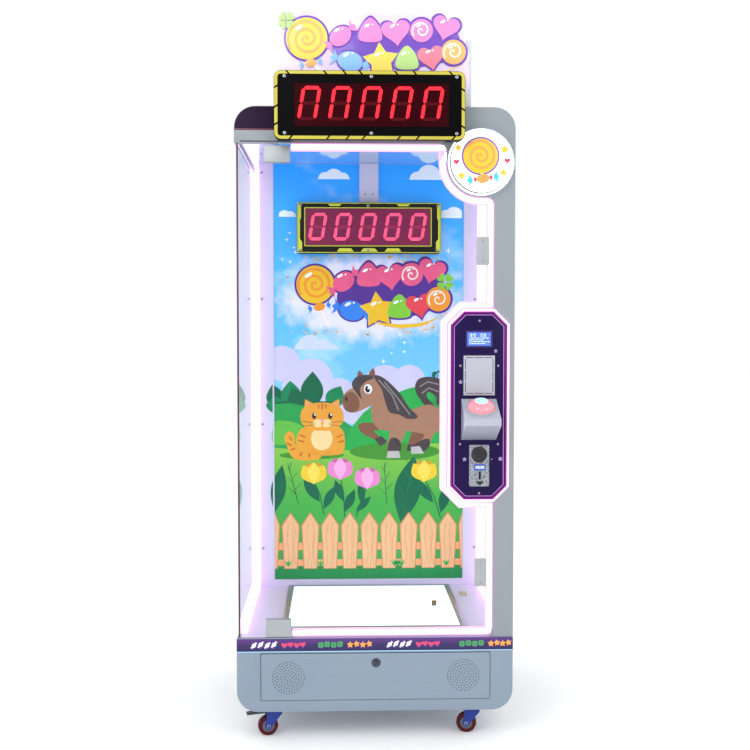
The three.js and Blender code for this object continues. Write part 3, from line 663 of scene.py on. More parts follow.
def mix_inks(f):
    """Adds the inks, vinyls and backlit acrylics, and the few finishes that go with them."""
    for word, (main, second) in INKS.items():
        f["ink_" + word] = satin("solvent_ink_" + word, main, second, rough=0.34, patch=34, fine=1.2,
                depth=0.006, glow=INK_GLOW, shine=0.15)
    for word, code in STICKERS.items():
        # painted light: a faint glow that brightens each vinyl sticker
        f[word] = satin("cut_vinyl_" + word, code, code, rough=0.3, patch=20, fine=1, depth=0.004,
                        glow=0.05)
    for word, code in SIGN_SHADES.items():
        f[word] = satin("backlit_acrylic_" + word, code, code, rough=0.22, patch=60, fine=1.2, depth=0.005,
                        coat=0.4, glow=0.12)
    f["sky"] = sky_print("solvent_ink_sky")
    # the meadow print: dark green at the fence, yellower towards the hills
    f["ink_field"] = printed("solvent_ink_field", [(0, "#1E9A44"), (0.55, "#40B03C"), (1, "#90CC3C")], 400,
                             850)
    # mirror acrylic: pale ice blue that reflects the lights of the room below it
    f["mirror"] = satin("mirror_acrylic_ice_blue", "#CFE6F8", "#C4DEF4", rough=0.08, metal=0.7, patch=300,
                        fine=2, depth=0.003)
    # moulded ABS: blue-black with a pearly skin
    f["lcd_rim"] = satin("moulded_abs_pearl", "#221A5C", "#1C1650", rough=0.35, patch=20, fine=1)
    # moulded ABS, ivory, painted pink for the glow of the lens beside it
    f["lens_rim"] = satin("moulded_abs_ivory_painted_pink_glow", "#C9B2BE", "#BEA6B4", rough=0.3, patch=20, fine=1, coat=0.3)
    # the dark grey nylon, painted rose grey for the purple light under the base
    f["pedal_rose"] = satin("moulded_nylon_painted_purple_glow", "#7A3F6A", "#6A3A62", rough=0.45, patch=12, fine=0.8,
                            depth=0.02)
    return f


# ---- the machine ----

def gather(pieces):
    """Joins pieces into the first of them."""
    only(pieces[0])
    for piece in pieces[1:]:
        piece.select_set(True)
    bpy.ops.object.join()
    return pieces[0]


def screw_heads(name, spots, y, metal, dark, r=4.5, side=-1, **attach):
    """A row of pan-head screws with crossed recesses, facing forward (side -1) or back (side 1)."""
    heads = [drum(name, x, y + side * r * 0.18, z, r, r * 0.36, metal, sides=14, ease=r * 0.12, **attach)
             for x, z in spots]
    gather(heads)
    cross = []
    for x, z in spots:
        a, b = r * 0.5, r * 0.11
        cross += [[(x - a, z - b), (x + a, z - b), (x + a, z + b), (x - a, z + b)],
                  [(x - b, z + b + 0.02), (x + b, z + b + 0.02), (x + b, z + a), (x - b, z + a)],
                  [(x - b, z - a), (x + b, z - a), (x + b, z - b - 0.02), (x - b, z - b - 0.02)]]
    front = y + side * r * 0.36
    # painted shade: the crossed recesses take the near-black finish
    cut_out(name + "_recess", cross, min(front, front + side * 0.1), max(front, front + side * 0.1), dark,
            ease=0.02, **attach)


def oval(x, z, rx, rz, lean=0.0, steps=36):
    """A leaning ellipse."""
    c, s = math.cos(math.radians(lean)), math.sin(math.radians(lean))
    points = []
    for i in range(steps):
        a = 2 * math.pi * i / steps
        u, v = rx * math.cos(a), rz * math.sin(a)
        points.append((x + u * c - v * s, z + u * s + v * c))
    return points


def flowing(points, steps=6):
    """A closed smooth outline through a few points."""
    n, smooth = len(points), []
    for i in range(n):
        p = [points[(i + k) % n] for k in (-1, 0, 1, 2)]
        for j in range(steps):
            t = j / steps
            weights = (-t + 2 * t * t - t ** 3, 2 - 5 * t * t + 3 * t ** 3, t + 4 * t * t - 3 * t ** 3,
                       t ** 3 - t * t)
            smooth.append(tuple(sum(w * q[k] for w, q in zip(weights, p)) / 2 for k in (0, 1)))
    return smooth


def seven_segment(x, z, wide, tall, thick, bars, lean=9.5):
    """The named bars (a top, clockwise to f, g middle) of a leaning digit centred at x, z."""
    w, h, t = (wide - thick) / 2, (tall - thick) / 2, thick / 2
    ends = {"a": (-w, h, w, h), "b": (w, h, w, 0), "c": (w, 0, w, -h), "d": (-w, -h, w, -h),
            "e": (-w, -h, -w, 0), "f": (-w, 0, -w, h), "g": (-w, 0, w, 0)}
    slope = math.tan(math.radians(lean))
    outlines = []
    for bar in bars:
        ax, az, bx, bz = ends[bar]
        length = math.hypot(bx - ax, bz - az)
        ux, uz = (bx - ax) / length, (bz - az) / length
        gap = thick * 0.1
        shape = [(gap, 0), (gap + t, t), (length - gap - t, t), (length - gap, 0), (length - gap - t, -t),
                 (gap + t, -t)]
        flat = [(ax + u * ux - v * uz, az + u * uz + v * ux) for u, v in shape]
        outlines.append([(x + px + pz * slope, z + pz) for px, pz in flat])
    return outlines


EASED = (  # CAD node, millimetres taken off its edges, finish, steps round the edge
    ("front_fascia", 1.2, "grey", 2), ("header_shell", 1.2, "grey", 2), ("base_shell", 1.2, "blue_grey", 2),
    ("base_front_panel", 1.2, "blue_grey", 2), ("rear_panel", 1.2, "blue_grey", 2),
    ("cable_channel", 2.0, "liner", 2), ("trim_band", 0.5, "band", 2),
    ("side_led_left", 3.0, "side_led", 3), ("side_led_right", 3.0, "side_led", 3),
    ("door_led_tube", 3.0, "led_pink", 3), ("topper_lightbox", 2.5, "topper", 3),
    ("bed_frame", 0.8, "aluminium", 2), ("bed_diffuser", 0.4, "bed", 2),
    ("door_clamp_top", 0.5, "fitting", 2), ("door_clamp_bottom", 0.5, "fitting", 2),
    ("strike_plate_upper", 0.5, "fitting", 2), ("strike_plate_lower", 0.5, "fitting", 2),
    ("control_panel", 0.8, "panel_edge", 2), ("lcd_screen", 0.4, "lcd", 2),
    ("reader_blank", 0.5, "blank", 2), ("button_box", 1.6, "box", 3), ("coin_mechanism", 0.4, "speckle", 2),
    ("coin_return_knob", 1.2, "black", 3), ("mains_inlet", 0.4, "black", 2),
    ("lock_cam", 0.3, "lock_metal", 2), ("power_supply", 1.0, "zinc", 2), ("main_board", 0.6, "board", 2),
    ("cash_box", 0.8, "zinc", 2), ("inner_display", 1.0, "screen_black", 2),
    ("topper_display", 2.0, "screen_black", 3),
)
FINISHED = {  # CAD nodes that are seen as they are
    "liner": ("deck_panel", "interior_back_panel", "control_housing"), "mirror": ("ceiling_panel",),
    "glass": ("side_glass_left", "side_glass_right", "door_glass"),
    "speaker": ("speaker_left", "speaker_right"), "halo": ("panel_halo_led",),
}


def dress_cabinet(f):
    """The CAD nodes' finishes, with eased copies where an edge catches the light."""
    for finish, nodes in FINISHED.items():
        for node in nodes:
            finish_node(node, f[finish])
    for node, width, finish, segments in EASED:
        eased(node, width, f[finish], segments)


def door_light(f):
    """The bright core of the doorway strip: along the top, round the disc and the panel, and back."""
    disc, panel, tube = edges("medallion"), edges("control_panel"), edges("door_led_tube")
    inset, half_width, border = 11.5, 7, 7.5
    lobe_x, lobe_z, lobe_r = (disc[0] + disc[1]) / 2, (disc[4] + disc[5]) / 2, (disc[1] - disc[0]) / 2 + 9
    start, right, top_line, foot = tube[0] + 2, tube[1] + 0.5 - inset, tube[5] + 0.5 - inset, tube[4] + 11
    offset = border + inset
    left, bottom, top = panel[0] - offset, panel[4] - offset, panel[5] + offset
    chamfer = PANEL_CORNER + CORNER_SHRINK * offset
    line = [(start, top_line)] + ring(lobe_x - lobe_r + 6, top_line - 6, 6, 4, 90, -90)
    line += ring(lobe_x, lobe_z, lobe_r + inset, 14, 180, 90)
    line += ring(right - 10, lobe_z - lobe_r - inset - 10, 10, 4, 90, -90)
    line += [(right, top), (left + chamfer, top), (left, top - chamfer), (left, bottom + chamfer),
             (left + chamfer, bottom), (right, bottom)]
    line += ring(right - 8, foot + 8, 8, 4, 0, -90) + [(start, foot)]
    face = tube[2]
    cut_out("door_light_core", [strip(line, 2 * half_width)], face - 0.7, face + 0.1, f["led"], ease=0.3,
            slot="led_lens")


def number_display(name, y, digits, window, glass, on, off, lit_bars):
    """The red window of a number display and its five leaning digits; digits holds their places and sizes."""
    cut_out(name + "_window", [slab(*window, 3)], y - 0.5, y + 0.2, glass, ease=0.15, slot="display_black")
    bright, dim = [], []
    for i in range(5):
        x = digits["first"] + digits["pitch"] * i
        place = (x, digits["z"], digits["wide"], digits["tall"], digits["thick"])
        bright += seven_segment(*place, lit_bars)
        dim += seven_segment(*place, [bar for bar in "abcdefg" if bar not in lit_bars])
    cut_out(name + "_segments_dim", dim, y - 0.8, y - 0.4, off, ease=0.1, slot="display_black")
    cut_out(name + "_segments_lit", bright, y - 1.1, y - 0.4, on, ease=0.2, slot="display_black")


def topper_display(f):
    """The face of the upper display: olive border with black ticks, red window, digits and six screws."""
    x0, x1, y, _, z0, z1 = edges("topper_display")
    outer, inner, tick = 1.5, 11, 6
    rim = [slab(x0 + outer, x1 - outer, z0 + outer, z1 - outer, 20),
           slab(x0 + inner, x1 - inner, z0 + inner, z1 - inner, 9)]
    cut_out("topper_display_border", rim, y - 0.5, y + 0.3, f["olive"], ease=0.15, slot="display_black")
    ticks = []
    for x in (x0 + 43, x0 + 155, x0 + 213, x0 + 261, x1 - 206, x1 - 150, x1 - 42):
        for low, high, lean in ((z0 + outer, z0 + inner + 1, 9), (z1 - inner - 1, z1 - outer, -9)):
            ticks.append([(x, low), (x + tick, low), (x + tick + lean, high), (x + lean, high)])
    for z in (z0 + 40, z0 + 92, z0 + 150):
        for low, high, lean in ((x0 + outer, x0 + inner + 1, 7), (x1 - inner - 1, x1 - outer, -7)):
            ticks.append([(low, z), (high, z + lean), (high, z + lean + tick), (low, z + tick)])
    cut_out("topper_display_ticks", ticks, y - 0.7, y - 0.3, f["screen_black"], ease=0.1,
            slot="display_black")
    digits = {"first": x0 + 105.7, "pitch": 92.05, "z": z0 + 107, "wide": 58, "tall": 102, "thick": 10.2}
    window = (x0 + 61.5, x1 - 49.5, z0 + 39.5, z1 - 38.5)
    number_display("topper_display", y, digits, window, f["red_window"], f["digit"], f["digit_dim"],
                   "abcef")
    spots = [(x, z) for x in (x0 + 32, x0 + 291, x1 - 26) for z in (z1 - 18, z0 + 19)]
    screw_heads("topper_display_screws", spots, y - 0.6, f["zinc"], f["gap"], 5, slot="lock_chrome")


def inner_display(f):
    """The face of the inner display: yellow rim and angular flashes on black, window and digits painted rose
    for the haze on the door glass, screws.
    """
    x0, x1, y, _, z0, z1 = edges("inner_display")
    rim = [slab(x0 + 1.5, x1 - 1.5, z0 + 1.5, z1 - 1.5, 4), slab(x0 + 4, x1 - 4, z0 + 4, z1 - 4, 3)]
    cut_out("inner_display_rim", rim, y - 0.4, y + 0.3, f["yellow"], ease=0.1, slot="display_black")
    end = ((5, z0 + 8), (5, z1 - 8), (15, z1 - 8), (15, z1 - 56), (11, z1 - 64), (11, z0 + 52),
           (19, z0 + 40), (19, z0 + 8))
    flashes = [[(side * (x1 - inwards), z) for inwards, z in end] for side in (-1, 1)]
    for x in (-118, -31, 56):
        flashes.append([(x, z0 + 6), (x + 62, z0 + 6), (x + 52, z0 + 18), (x + 10, z0 + 18)])
    for x in (-150, 100):
        flashes.append([(x, z1 - 6), (x + 50, z1 - 6), (x + 42, z1 - 13), (x + 8, z1 - 13)])
    cut_out("inner_display_flashes", flashes, y - 0.5, y + 0.2, f["yellow"], ease=0.1, slot="display_black")
    line_in = (x0 + 30, x1 - 38, z0 + 28, z1 - 21)
    line_out = (x0 + 27, x1 - 35, z0 + 25, z1 - 18)
    cut_out("inner_display_line", [slab(*line_out, 3), slab(*line_in, 3)], y - 0.6, y + 0.2, f["yellow"],
            ease=0.1, slot="display_black")
    digits = {"first": x0 + 76, "pitch": 90.9, "z": z0 + 96, "wide": 57, "tall": 100, "thick": 11.5}
    window = (x0 + 31, x1 - 39, z0 + 29, z1 - 22)
    number_display("inner_display", y, digits, window, f["rose_window"], f["digit_rose"],
                   f["digit_rose_dim"], "abcdef")
    spots = [(x, z) for x in (x0 + 13, x0 + 259, x1 - 13) for z in (z1 - 11, z0 + 11)]
    screw_heads("inner_display_screws", spots, y - 0.4, f["zinc"], f["gap"], 5, slot="lock_chrome")


# ---- sweets: the same cluster of glossy sweets is on the sign and on the backdrop ----

def wrapped_sweet(x, z, r, lean):
    """A round sweet between two twisted paper ends."""
    body = oval(x, z, r * 0.72, r * 0.56, lean)
    a = math.radians(lean)
    ends = []
    for s in (-1, 1):
        fan = [(0.73, 0.10), (1.08, 0.46), (1.0, 0.16), (1.16, 0), (1.0, -0.16), (1.08, -0.46),
               (0.73, -0.10)]
        ends.append([(x + s * r * u * math.cos(a) - r * v * math.sin(a),
                      z + s * r * u * math.sin(a) + r * v * math.cos(a)) for u, v in fan])
    return [body] + ends


def clover(x, z, r):
    """A four-leaved clover made of hearts."""
    leaves = []
    for i in range(4):
        a = math.radians(45 + 90 * i)
        leaves.append(heart(x + r * 0.55 * math.cos(a), z + r * 0.55 * math.sin(a), r * 0.5, 90 * i - 45,
                            20))
    return leaves


def spiral(x, z, r, turns=2.2, width=0.16):
    """The swirl of a sweet, as a band that winds outwards."""
    steps = int(26 * turns)
    line = []
    for i in range(steps + 1):
        t = i / steps
        a = 2 * math.pi * turns * t
        line.append((x + r * t * math.cos(a), z + r * t * math.sin(a)))
    return strip(line, r * width)


def grown(points, x, z, extra, r):
    """An outline made larger about x, z by extra millimetres where it is r across."""
    k = 1 + extra / r
    return [(x + (px - x) * k, z + (pz - z) * k) for px, pz in points]


def sweet_shape(kind, x, z, r, lean):
    """The outlines of one sweet about r across; the first is its body."""
    if kind == "wrap":
        return wrapped_sweet(x, z, r, lean)
    if kind == "heart":
        return [heart(x, z, r * 1.02, lean)]
    if kind == "star":
        return [star(x, z, r * 1.1, 0.55, 5, lean)]
    if kind == "disc":
        return [ring(x, z, r * 0.9)]
    gumdrop = ((-0.66, -0.6), (0.66, -0.6), (0.64, 0.2), (0, 0.9), (-0.64, 0.2))
    return [flowing([(x + r * u, z + r * v) for u, v in gumdrop])]


SWEETS = (  # kind, place along and up the cluster, size, lean, shade
    ("wrap", 0.335, 0.64, 57, 38, "pink"), ("drop", 0.490, 0.72, 54, -8, "pink"),
    ("heart", 0.622, 0.72, 53, 8, "pink"), ("disc", 0.755, 0.74, 45, 0, "pink"),
    ("heart", 0.882, 0.80, 50, -14, "pink"), ("wrap", 0.385, 0.24, 62, -14, "blue"),
    ("star", 0.545, 0.25, 60, 96, "gold"), ("drop", 0.680, 0.28, 53, 8, "green"),
    ("heart", 0.805, 0.32, 50, 10, "red"), ("disc", 0.922, 0.40, 48, 0, "orange"),
)


def sweet_cluster(prefix, f, spot, y, step, shades, size, clover_at, slot):
    """Glossy sweets in a loose double row beside a big lollipop, each on a purple backing; shades keys f."""
    x0, x1, z0, z1 = spot

    def place(u, v):
        """The point u of the way along the cluster and v of the way up."""
        return x0 + u * (x1 - x0), z0 + v * (z1 - z0)

    def put_on(part, outlines, level, shade_name, ease=0.1, rounds=1):
        """One part of the cluster, level steps in front of the surface it is on."""
        cut_out(prefix + "_" + part, outlines, y - step * level, y + 0.2, f[shades[shade_name]],
                ease=min(ease, step / 2), rounds=rounds, slot=slot)

    shine = []
    core = ((0.30, 0.34), (0.36, 0.70), (0.60, 0.80), (0.90, 0.84), (0.95, 0.40), (0.80, 0.18),
            (0.50, 0.14))
    put_on("backing", [flowing([place(u, v) for u, v in core])], 1, "back")
    for k, (kind, u, v, r, lean, shade_name) in enumerate(SWEETS):
        x, z = place(u, v)
        r *= size
        shapes = sweet_shape(kind, x, z, r, lean)
        put_on("backing_%d" % k, [grown(shapes[0], x, z, 9 * size, r)], 1.05 + 0.05 * k, "back")
        put_on("%s_%d" % (kind, k), shapes, 2.6 + 0.06 * k, shade_name, 1.0, 2)
        if kind == "disc":
            put_on("disc_swirl_%d" % k, [spiral(x, z, r * 0.76, 1.6, 0.15)], 3.2 + 0.06 * k, "cream")
        shine += [oval(x - r * 0.22, z + r * 0.36, r * 0.20, r * 0.09, 28, 14),
                  oval(x + r * 0.12, z + r * 0.44, r * 0.06, r * 0.05, 0, 10)]
    lx, lz = place(0.16, 0.60)
    lr = 68 * size ** 0.5
    put_on("lollipop_backing", [ring(lx, lz, lr + 7 * size, 48)], 1.5, "back")
    put_on("stick", [strip([(lx + 10 * size, lz - lr), place(0.245, 0.02)], 9 * size)], 1.6, "cream")
    swoosh = ((0.52, 0.08), (0.66, 0.0), (0.82, 0.03), (0.97, 0.20), (0.84, 0.08), (0.68, 0.05))
    put_on("swoosh", [flowing([place(u, v) for u, v in swoosh])], 1.8, "gold")
    put_on("lollipop", [ring(lx, lz, lr, 56)], 2, "gold", 1.2, 2)
    put_on("lollipop_swirl", [spiral(lx, lz, lr * 0.94, 2.6, 0.15)], 2.4, "orange")
    bx, bz = lx + 14 * size, lz - lr - 12 * size
    put_on("bow_ends", wrapped_sweet(bx, bz, 36 * size, 12)[1:], 2.5, "blue")
    put_on("bow_knot", [oval(bx, bz, 20 * size, 14 * size, 12)], 2.8, "orange")
    shine.append(oval(lx - lr * 0.36, lz + lr * 0.5, 15 * size, 6 * size, 32, 16))
    put_on("shine", shine, 4.0, "white", 0.05)
    put_on("clover", clover(*place(*clover_at), 34 * size), 3.9, "green")


def sign(f):
    """The cut-out sign over the lightbox, and the foot beside it."""
    eased("topper_sign", 0.8, f["sign_back"])
    x0, x1, y, _, z0, z1 = edges("topper_sign")
    shades = {"back": "sign_purple", "pink": "sign_pink", "blue": "sign_blue", "gold": "sign_gold",
              "green": "sign_green",
              "red": "sign_rose", "orange": "sign_orange", "cream": "sign_cream", "white": "white"}
    spot = (x0 + 4, x1 - 6, z0 + 60, z1 - 10)
    sweet_cluster("sign", f, spot, y, 1.6, shades, 0.86, (0.055, 0.88), "sign_acrylic")
    block("sign_foot", 262, 286, 16, 40, 1959.4, 1972, f["black"], 1.5, slot="black_plastic")


# ---- backdrop: printed layers, each a hair in front of the last ----

WALL_Y = edges("interior_back_panel")[2]


def layer(name, outlines, k, material, ease=0.02):
    """The k-th printed layer of the backdrop."""
    return cut_out("backdrop_" + name, outlines, WALL_Y - 0.5 - 0.1 * k, WALL_Y - 0.3, material, ease=ease,
                   slot="interior_white")


def sparkles(count, x0, x1, z0, z1, small, large):
    """Four-pointed stars strewn over an area; each takes three random draws."""
    shapes = []
    for _ in range(count):
        x, z, r = random.uniform(x0, x1), random.uniform(z0, z1), random.uniform(small, large)
        shapes.append(star(x, z, r, 0.25, 4))
    return shapes


def backdrop_sky(f):
    """Sky, clouds, far haze, gold dust and glints."""
    block("backdrop_sheet", -350, 350, WALL_Y - 0.4, WALL_Y - 0.1, 347, 1884, f["sky"], 0.1,
          slot="interior_white")
    puffs = [cloud(-192, -67, 1828, [(-160, 26, 1828), (-128, 34, 1832), (-95, 24, 1828)]),
             cloud(147, 300, 1827, [(180, 30, 1827), (222, 44, 1838), (262, 30, 1828)]),
             cloud(-330, -262, 1690, [(-310, 24, 1690), (-288, 20, 1690)]),
             cloud(250, 344, 1687, [(285, 30, 1687), (315, 34, 1694)]),
             cloud(-282, -98, 1202, [(-250, 26, 1202), (-218, 44, 1212), (-170, 36, 1204),
                     (-132, 20, 1200)])]
    layer("clouds", puffs[:-1], 1, f["ink_white"])
    layer("cloud_low", puffs[-1:], 1, f["ink_mist"])
    haze = ((-321, 1150, 66), (-215, 1085, 84), (-262, 1060, 60), (-110, 1030, 66), (-60, 985, 60),
            (60, 1060, 84), (150, 1085, 60))
    for k, (x, z, r) in enumerate(haze):
        layer("haze_%d" % k, [ring(x, z, r)], 2 + 0.1 * k, f["ink_haze"])
    layer("gold_dust", sparkles(46, -270, 330, 1526, 1562, 4, 10)
          + sparkles(40, -300, 250, 1258, 1296, 4, 10)
          + sparkles(16, -345, -260, 1300, 1480, 3, 7) + sparkles(14, 270, 335, 1300, 1540, 3, 8), 3,
          f["ink_gold"])
    layer("glints", sparkles(7, 150, 330, 1560, 1640, 6, 14) + sparkles(6, -320, -260, 1500, 1640, 6, 12)
          + sparkles(5, 40, 150, 1150, 1260, 6, 12), 3.5, f["ink_white"])


def backdrop_land(f):
    """Bushes, hills, path, meadow, far trees and the shadows under the animals."""
    bush = [leaf(-336, 975, 100, 66, -12), leaf(-284, 975, 112, 76, -4), leaf(-213, 975, 146, 84, 2),
            leaf(-150, 978, 100, 70, 28), leaf(-250, 965, 100, 70, -20), leaf(-345, 960, 70, 70, 0)]
    for k, shape in enumerate(bush):
        layer("bush_%d" % k, [shape], 4 + 0.15 * k, f["ink_bush"] if k % 2 else f["ink_pine"])
    layer("bush_foot", [slab(-350, -118, 930, 1010, 18)], 5, f["ink_pine"])
    hills = [("far", f["ink_hill"], [(-350, 1000), (-290, 1003), (-200, 985), (-120, 955), (-40, 900),
            (10, 820), (-350, 820)]),
             ("right", f["ink_meadow"], [(-96, 820), (-70, 905), (-20, 968), (60, 1024), (150, 1058),
                     (262, 1076), (350, 1080), (350, 820)]),
             ("right_far", f["ink_hill"], [(200, 900), (225, 1000), (262, 1062), (300, 1085), (350, 1098),
                     (350, 900)])]
    for k, (name, ink, points) in enumerate(hills):
        layer("hill_" + name, [points], 6 + 0.2 * k, ink)
    layer("path", [flowing([(-350, 930), (-310, 938), (-270, 930), (-235, 905), (-235, 870), (-350, 850)])],
          6.7, f["ink_lime"])
    field = [(-350, 380), (350, 380), (350, 850), (200, 852), (60, 838), (-100, 826), (-240, 828),
             (-350, 838)]
    layer("field", [field], 7, f["ink_field"])
    layer("far_trees", [ring(246, 1108, 12, 16), ring(262, 1114, 10, 16), slab(247, 253, 1082, 1108)], 7,
          f["ink_pine"])
    layer("shadows", [oval(-212, 809, 120, 15), oval(96, 822, 168, 32)], 7.3, f["ink_shade"])


def backdrop_cat(f):
    """A plain seated ginger cat."""
    fur, stripe, light, line = f["ink_ginger"], f["ink_rust"], f["ink_buff"], f["ink_dark"]
    layer("cat_tail", [flowing([(-305, 848), (-313, 876), (-298, 898), (-278, 887), (-270, 848),
            (-225, 820), (-179, 814), (-188, 794), (-244, 790), (-285, 803)])], 8, fur)
    layer("cat_body", [flowing([(-255, 902), (-216, 923), (-151, 923), (-102, 908), (-89, 867), (-96, 820),
            (-130, 809), (-207, 809), (-253, 820), (-270, 857)])], 8.3, fur)
    layer("cat_bands", [strip([(-296, 878), (-285, 865)], 7), strip([(-304, 855), (-287, 846)], 7),
                        strip([(-291, 829), (-274, 835)], 7), strip([(-255, 806), (-248, 822)], 7),
                        strip([(-222, 801), (-220, 818)], 7), strip([(-257, 885), (-235, 876)], 6),
                        strip([(-263, 865), (-240, 859)], 6), strip([(-98, 885), (-119, 876)], 6),
                        strip([(-93, 863), (-113, 857)], 6)], 8.7, stripe)
    layer("cat_chest", [oval(-175, 871, 40, 44)], 8.8, light)
    layer("cat_paws", [slab(-221, -179, 813, 829, 10), slab(-175, -134, 813, 829, 10)], 9, fur)
    layer("cat_toes", [strip([(-207, 813), (-207, 822)], 2), strip([(-194, 813), (-194, 822)], 2),
                       strip([(-160, 813), (-160, 822)], 2), strip([(-147, 813), (-147, 822)], 2)], 9.2,
                       stripe)
    layer("cat_ears", [[(-242, 969), (-236, 1018), (-197, 996)], [(-152, 996), (-111, 1018), (-106, 969)]],
          9.1, fur)
    layer("cat_ears_inside", [[(-233, 981), (-229, 1005), (-210, 994)],
            [(-137, 994), (-119, 1005), (-115, 981)]], 9.3, f["ink_petal"])
    layer("cat_head", [flowing([(-253, 943), (-246, 981), (-210, 1001), (-173, 1005), (-136, 1001),
            (-102, 981), (-94, 943), (-117, 910), (-173, 900), (-231, 910)])], 9.5, fur)
    layer("cat_brow", [strip([(-173, 1001), (-173, 979)], 7), strip([(-188, 999), (-185, 983)], 6),
                       strip([(-158, 999), (-161, 983)], 6)], 9.7, stripe)
    layer("cat_muzzle", [oval(-188, 928, 20, 15), oval(-158, 928, 20, 15)], 9.8, light)
    layer("cat_eyes", [oval(-203, 955, 8, 11), oval(-143, 955, 8, 11)], 10, line)
    layer("cat_glints", [oval(-200, 960, 3, 4), oval(-140, 960, 3, 4)], 10.2, f["ink_white"])
    layer("cat_nose", [[(-182, 943), (-164, 943), (-173, 932)]], 10, f["ink_petal"])
    layer("cat_whiskers", [strip([(-197, 928), (-246, 936)], 1.6), strip([(-197, 923), (-244, 917)], 1.6),
            strip([(-149, 928), (-100, 936)], 1.6), strip([(-149, 923), (-102, 917)], 1.6)], 10.1, line)


def backdrop_pony(f):
    """A plain trotting brown pony."""
    coat, dark, mane, pale = f["ink_bay"], f["ink_dark"], f["ink_mane"], f["ink_hoof"]
    layer("pony_tail", [flowing([(242, 969), (206, 997), (173, 1048), (182, 1089), (223, 1100), (266, 1089),
            (279, 1044), (270, 1007), (253, 997), (249, 1025), (223, 1044), (216, 1025), (242, 996),
            (259, 969)])], 8, mane)
    layer("pony_legs_far", [flowing([(176, 923), (154, 876), (148, 842), (176, 829), (189, 855), (204, 876),
            (214, 913)]), flowing([(36, 923), (-1, 930), (-38, 923), (-27, 893), (18, 869), (42, 874),
                    (18, 898), (36, 902)])], 8.3, f["ink_bay_shade"])
    layer("pony_hooves_far", [[(145, 848), (182, 848), (186, 824), (141, 824)],
            [(21, 869), (47, 880), (70, 859), (42, 841)]],
          8.4, mane)
    layer("pony_body", [flowing([(18, 988), (64, 973), (130, 969), (186, 988), (232, 996), (270, 969),
            (273, 913), (232, 885), (176, 893), (130, 900), (83, 898), (36, 908), (12, 941)])], 8.6, coat)
    layer("pony_legs_near", [flowing([(92, 923), (74, 876), (70, 820), (105, 814), (120, 857), (137, 898)]),
            flowing([(208, 913), (204, 876), (176, 848), (195, 820), (225, 848), (242, 885), (262, 923)])],
          8.8, coat)
    layer("pony_socks", [flowing([(79, 867), (70, 814), (111, 811), (120, 848), (104, 872)]),
            flowing([(189, 861), (167, 839), (189, 814), (225, 841), (223, 869)])], 8.9, mane)
    layer("pony_hooves", [[(70, 824), (113, 824), (117, 798), (66, 798)],
            [(156, 839), (189, 842), (206, 814), (158, 813)]],
          9.1, pale)
    layer("pony_neck", [flowing([(3, 1044), (47, 1063), (92, 1007), (92, 932), (46, 913), (16, 941),
            (8, 988)])], 9.2,
          coat)
    layer("pony_ears", [leaf(-27, 1082, 44, 22, -12), leaf(6, 1089, 46, 22, 14)], 9.3, f["ink_bay_shade"])
    layer("pony_head", [flowing([(-98, 1007), (-85, 1044), (-48, 1067), (-24, 1100), (18, 1100), (42, 1063),
            (33, 1011), (-9, 986), (-48, 969), (-81, 973)])], 9.5, coat)
    layer("pony_nose", [flowing([(-98, 1003), (-91, 1033), (-61, 1044), (-37, 1016), (-38, 983), (-61, 968),
            (-87, 977)])], 9.7,
          f["ink_bay_shade"])
    layer("pony_nostril", [oval(-83, 1018, 5, 8, 20)], 9.9, dark)
    layer("pony_eye", [oval(-3, 1055, 15, 18, 10)], 9.9, f["ink_white"])
    layer("pony_pupil", [oval(-5, 1054, 9, 13, 10)], 10.1, dark)
    layer("pony_glint", [oval(-1, 1059, 3.5, 4.5)], 10.3, f["ink_white"])
    layer("pony_forelock", [flowing([(-5, 1108), (-46, 1100), (-63, 1072), (-48, 1044), (-27, 1018),
            (-33, 1055), (-12, 1082), (18, 1096)])], 10.2, mane)
    layer("pony_mane", [flowing([(18, 1104), (55, 1096), (111, 1044), (148, 988), (182, 951), (148, 943),
            (111, 960), (77, 969), (61, 1007), (47, 1054)])], 10.2, mane)
    layer("pony_mane_locks", [strip([(36, 1089), (85, 1035), (111, 975)], 5),
            strip([(57, 1082), (111, 1016), (154, 958)], 5),
            strip([(189, 1063), (219, 1082), (260, 1072)], 5),
            strip([(197, 1039), (223, 1059), (260, 1044)], 5)],
          10.4, f["ink_grey"])


